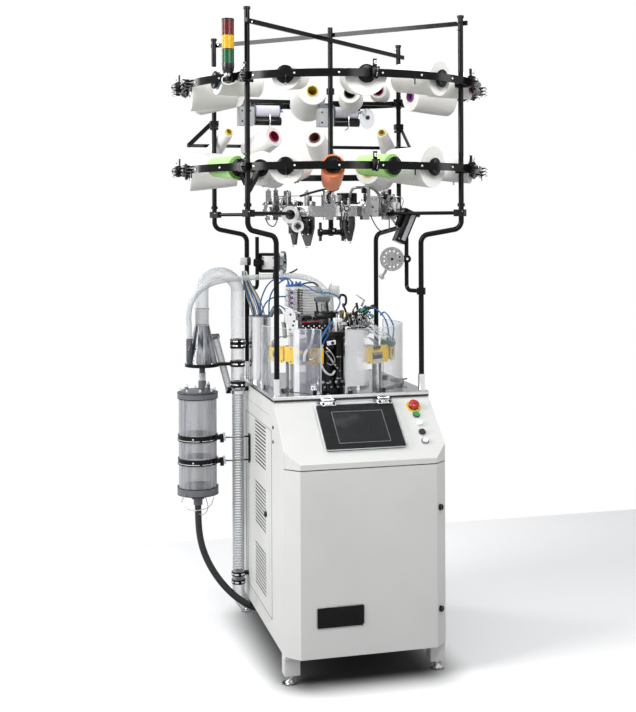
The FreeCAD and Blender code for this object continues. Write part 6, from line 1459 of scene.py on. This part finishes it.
def make_storage_feeder():
    """Faces, fans and screws of the pale two-disc storage unit."""
    out = polar(1, -114)
    face = polar(274, -139, FEEDER_HEIGHT - 16)
    big = face + out * 4 - UP * 4
    low = face + polar(30, -24) - UP * 48 + out * 10
    pale = Piece("storage_rims", "valve", "aluminium")
    ring_of(pale, big, out, 19, 33.4, 3.4, 40)
    ring_of(pale, low, out, 16, 23.6, 3.4, 36)
    ring_of(pale, big + out * 3, out, 27, 31, 1.6, 40)
    face_grey = Piece("storage_faces", "pale_grey", "aluminium")
    disc(face_grey, low - out * 1, out, 16, 2, 30)
    black = Piece("storage_fan", "bezel", "casting_black")
    disc(black, big - out * 8, out, 18.6, 2, 32)
    for blade in range(7):
        turn = Matrix.Rotation(math.tau * blade / 7, 4, "Z")
        black.block((3, 13, 5), place(big - out * 4, out) @ turn @ Matrix.Translation((0, 10 * MM, 0)), 0.6)
    disc(black, big - out * 5, out, 6, 6, 20)
    black.block((19, 19, 2), place(low + out * 2, out, 45), 1)
    marks = Piece("storage_marks", "red", "aluminium")
    disc(marks, big + out * 3.2 + polar(24, -24) - UP * 16, out, 2.6, 1.2, 14, 0.3)


def make_arm_trim():
    """Faces of the yarn brake, the left motor, wheel rims and clamps on the black arms."""
    teal = Piece("right_wheel_rim", "teal", "aluminium", "right_wheel")
    matrix = place(RIGHT_WHEEL, RIGHT_AXIS)
    teal.collar(44.2, 46.5, -7.4, -3.4, matrix, 48)
    hub = Piece("right_wheel_hub", "screw", "aluminium", "right_wheel")
    hub.turned([(6, -8.4), (9, -8.4), (10, -7), (10, 7.4), (6, 7.4)], matrix, 28, closed=True)
    hub.collar(13.4, 15.6, -8, -6.6, matrix, 36)
    teal = Piece("left_wheel_rim", "teal", "aluminium", "left_wheel")
    matrix = place(LEFT_WHEEL, LEFT_AXIS)
    teal.collar(44.2, 46.5, 3.4, 7.4, matrix, 48)
    black = Piece("arm_units_black", "clamp", "tube_black")
    white = Piece("arm_units_white", "valve", "valve_white")
    steel = Piece("arm_units_steel", "screw", "chrome")
    grey = Piece("arm_units_grey", "pale_grey", "unit_grey")
    lean = Matrix.Translation(mm(242, -200, 1622)) @ Matrix.Rotation(math.radians(24), 4, "Y")

    def on_brake(x, y, z):
        return lean @ Matrix.Translation(mm(x, y, z))

    black.block((42, 8, 130), on_brake(0, -26, 0), 3)
    black.block((30, 12, 60), on_brake(-26, 0, 22), 4)
    grey.block((16, 3, 108), on_brake(6, -31, 2), 1)
    for shift in (-52, 52):
        steel.rod(3, 3, on_brake(-12, -30, shift) @ Matrix.Rotation(math.pi / 2, 4, "X"))
    axis = Vector(LEFT_AXIS).normalized()
    side = Vector((-axis.y, axis.x, 0))
    centre = Vector(LEFT_WHEEL) - axis * 58
    white.block((52, 62, 56), frame_at(centre, axis), 4)
    black.block((80, 12, 30), frame_at(centre - UP * 28, axis), 3)
    black.block((22, 66, 66), frame_at(centre + axis * 34, axis), 5)
    black.block((12, 40, 74), frame_at(centre - axis * 36, axis), 3)
    for across in (-22, 22):
        for height in (-20, 20):
            bolt_head(steel, centre + side * -31 + axis * across + UP * height, -side, 4, 4)
    white.block((30, 24, 30), (-318, 205, 1484), 3)
    ring_of(black, (-303, 205, 1484), (1, 0, 0), 8, 17, 14, 24)
    black.tube([(-170, 180, 1446), (-150, 176, 1430), (-124, 150, 1440), (-112, 120, 1452)], 3.4, 8)
    knob = [(0, 0), (13, 0), (15, 3), (15, 12), (11, 16), (0, 16)]
    black.turned(knob, place((246, -218, 1500), RIGHT_AXIS), 26)
    disc(white, (242, -234, 1500), RIGHT_AXIS, 4.5, 2.5, 18)
    steel.tube([(170, -206, 1478), (160, -212, 1452), (148, -214, 1436)], 5, 10)
    steel.block((20, 12, 14), frame_at((144, -214, 1432), (1, 0, -1)), 2)
    covers = Piece("cover_outlets", "bezel", "cover_black")
    trims = Piece("cover_trims", "screw", "machined_steel")
    for angle, low, width in ((-129, 1552, 54), (-145, 1556, 36), (-86, 1570, 42), (60, 1570, 40)):
        out, side, at = station(FEEDER_RADIUS - 4, angle, 0)
        top = FEEDER_HEIGHT - 27
        tall = top - low
        for step in range(3):
            for sign in (-0.8, 0.8):
                half = width * (0.42 - 0.07 * step) * sign
                disc(trims, at(12, half, top - 14 - tall * 0.24 * step), out, 2.4, 1.4, 12, 0.3)
        covers.block((5, width * 0.55, tall * 0.5), frame_at(at(12, 0, top - tall * 0.34), out), 2)
        trims.collar(1.6, 3.4, 0, 6, place(at(0, 0, low - 2), -UP), 14)
    pole = Piece("centre_bracket_trim", "clamp", "cover_black")
    pole.tube([(-58, -16, 1600), (60, -16, 1600)], 8, 14, smooth=False)
    disc(pole, (0, -32, 1607), (0, -1, 0), 13, 8, 22)
    for x in (-48, 44):
        pole.block((16, 22, 30), (x, -14, 1602), 3)
    bolt = Piece("centre_bracket_bolt", "white", "chrome")
    disc(bolt, (0, -40, 1609), (0, -1, 0), 4, 3, 16)
    disc(bolt, (-48, -26, 1609), (0, -1, 0), 3, 3, 16)


# ---------------------------------------------------------------- suction unit

PIPE = (-344, 200)
COLLECTOR = (-509, 200)
CONE_X = -490
HOSE_PITCH, BRANCH_PITCH = 10.6, 8.4


def make_ribbed_hose():
    """The clear ribbed hose: a thin wall, fine rings, and a smaller branch from the cone."""
    wall = Piece("ribbed_wall", "hose_wall", "hose_grey", replaces="ribbed_hose")
    wall.turned([(22.4, 196), (22.4, 968), (23.0, 968), (23.0, 196)], (*PIPE, 0), 40, closed=True)
    low = Vector((*PIPE, 936)) + polar(44.5, 122)
    high = Vector((CONE_X, 200, 1176)) + polar(68, 31)
    along = high - low
    top = along.length - 4
    wall.turned([(13.6, 8), (13.6, top), (14.2, top), (14.2, 8)], place(low, along), 28, closed=True)
    rings = Piece("ribbed_rings", "hose_rings", "hose_grey")
    ring = [(22.8, -2.2), (24.6, -1.3), (25, 0), (24.6, 1.3), (22.8, 2.2)]
    for number in range(73):
        rings.turned(ring, (*PIPE, 199.5 + HOSE_PITCH * number), 36, closed=True)
    ring = [(14.0, -1.8), (15.7, -1.0), (16, 0), (15.7, 1.0), (14.0, 1.8)]
    count = int(along.length / BRANCH_PITCH)
    for number in range(1, count):
        rings.turned(ring, place(low + along * (number / count), along), 28, closed=True)


def make_suction_trim():
    """Bolts, nuts, straps, wire loops, clips and clear parts of the suction unit."""
    steel = Piece("suction_steel", "chrome", "chrome")
    black = Piece("suction_black", "clamp", "clamp_black")
    pale = Piece("suction_knobs", "lilac", "unit_grey")
    clear_parts = Piece("suction_clear", "edge", "clear_tube")
    wires = Piece("suction_wires", "wire", "chrome")
    x, y = COLLECTOR
    for angle in range(0, 360, 45):
        spot = Vector((x, y, 964)) + polar(70, angle)
        clear_parts.turned([(0, 0), (5, 0), (5, 6), (3.4, 9), (0, 9)], spot, 14)
        bolt_head(steel, spot + UP * 8, UP, 2.6, 3)
    for angle in (-150, -60, 30):
        spot = Vector((x, y, 982)) + polar(56, angle)
        steel.turned([(0, 0), (5, 0), (5, 5), (2.4, 7), (2.4, 12), (0, 12)], spot, 14)
    for z, reach in ((956.2, 82.6), (934.4, 82.6), (576.4, 83.6), (547.6, 83.6)):
        band = [(reach - 2.2, -1.5), (reach, -1.2), (reach, 1.2), (reach - 2.2, 1.5)]
        black.turned(band, (x, y, z), 48, closed=True)
    for z in (776, 682):
        steel.collar(80.6, 81.4, -9.5, -5.5, (x, y, z), 48)
        black.collar(77, 82, -12.4, -8, (x, y, z), 48)
        black.block((22, 14, 18), (x + 78, 150, z + 2), 3)
        disc(pale, (x + 92, 150, z + 4), (0.4, -1, 0), 9, 10, 20)
        pale.block((8, 12, 34), frame_at((x + 98, 140, z + 6), (1, 0.3, 0.1)), 3)
        bolt_head(steel, (x - 30, y - 77, z + 2), (-0.3, -1, 0), 4, 4)
        wires.tube([(x + 100, 148, z + 4), (x + 150, 149, z + 1), (-316, 150, z)], 1.8, 8)
    for z in (1142, 1160, 1067, 983):
        steel.collar(31.1, 32.3, -3, 3, (*PIPE, z))
        black.collar(27.9, 31.3, -7, 7, (*PIPE, z))
        black.rod(5, 14, place((PIPE[0] - 8, PIPE[1] - 42, z), (1, 0, 0)), 14)
        steel.rod(3, 26, place((PIPE[0] - 14, PIPE[1] - 42, z), (1, 0, 0)))
    for z in (948, 954, 210, 178):
        steel.collar(27.4, 29.0, -3, 3, (*PIPE, z))
    for angle in range(0, 360, 60):
        bolt_head(steel, Vector((CONE_X, y, 1073)) + polar(63.5, angle), UP, 3, 3)
    black.turned([(58, -1), (70.4, -1), (70.4, 8), (66, 12), (58, 12)], (CONE_X, y, 1062), 48, closed=True)
    clear_parts.collar(29.2, 30.6, -2, 2, (CONE_X, y, 1292))
    clear_parts.collar(29.2, 30.4, -1.5, 1.5, (CONE_X, y, 1228))
    clear_parts.collar(12.2, 14, 0, 30, (CONE_X, y, 1004), 28)
    steel.collar(12.2, 15.4, 0, 7, (CONE_X, y, 992), 28)
    wires.tube([(CONE_X - 60, y + 10, 1070), (CONE_X - 66, y - 20, 1100), (-548, 150, 1150)], 1.4, 6)
    wires.tube([(x - 60, 140, 560), (x - 76, 120, 530), (x - 40, 112, 500), (x + 30, 120, 506),
                (x + 56, 140, 540)], 1.5, 6)
    wires.tube([(x + 20, 180, 556), (x + 34, 160, 500), (x + 20, 160, 470), (x, 180, 466)], 1.5, 6)
    clip = Vector((-232, 116, 1424))
    along = Vector((50, -18, 2)).normalized()
    black.collar(11.4, 14.6, 0, 12, place(clip + along * 20, along), 24)
    pale.block((14, 10, 44), frame_at(clip + along * 52 + Vector((0, -12, 4)), along), 3)


# ---------------------------------------------------------------- scene

make_camera()
make_cords()
make_lights()
make_world()
make_floor()
dress_nodes()
make_packages()
make_boards()
make_valve_trim()
make_left_casting()
make_finger_cluster()
make_plate_trim()
make_plate_edges()
make_guard_trim()
make_cabinet_trim()
make_console_trim()
make_hoop_trim()
make_creel_trim()
make_feeder_trim()
make_storage_feeder()
make_arm_trim()
make_ribbed_hose()
make_suction_trim()
while Piece.begun:
    Piece.begun[0].finish()

bpy.context.scene.view_settings.view_transform = "Standard"
bpy.context.view_layer.update()
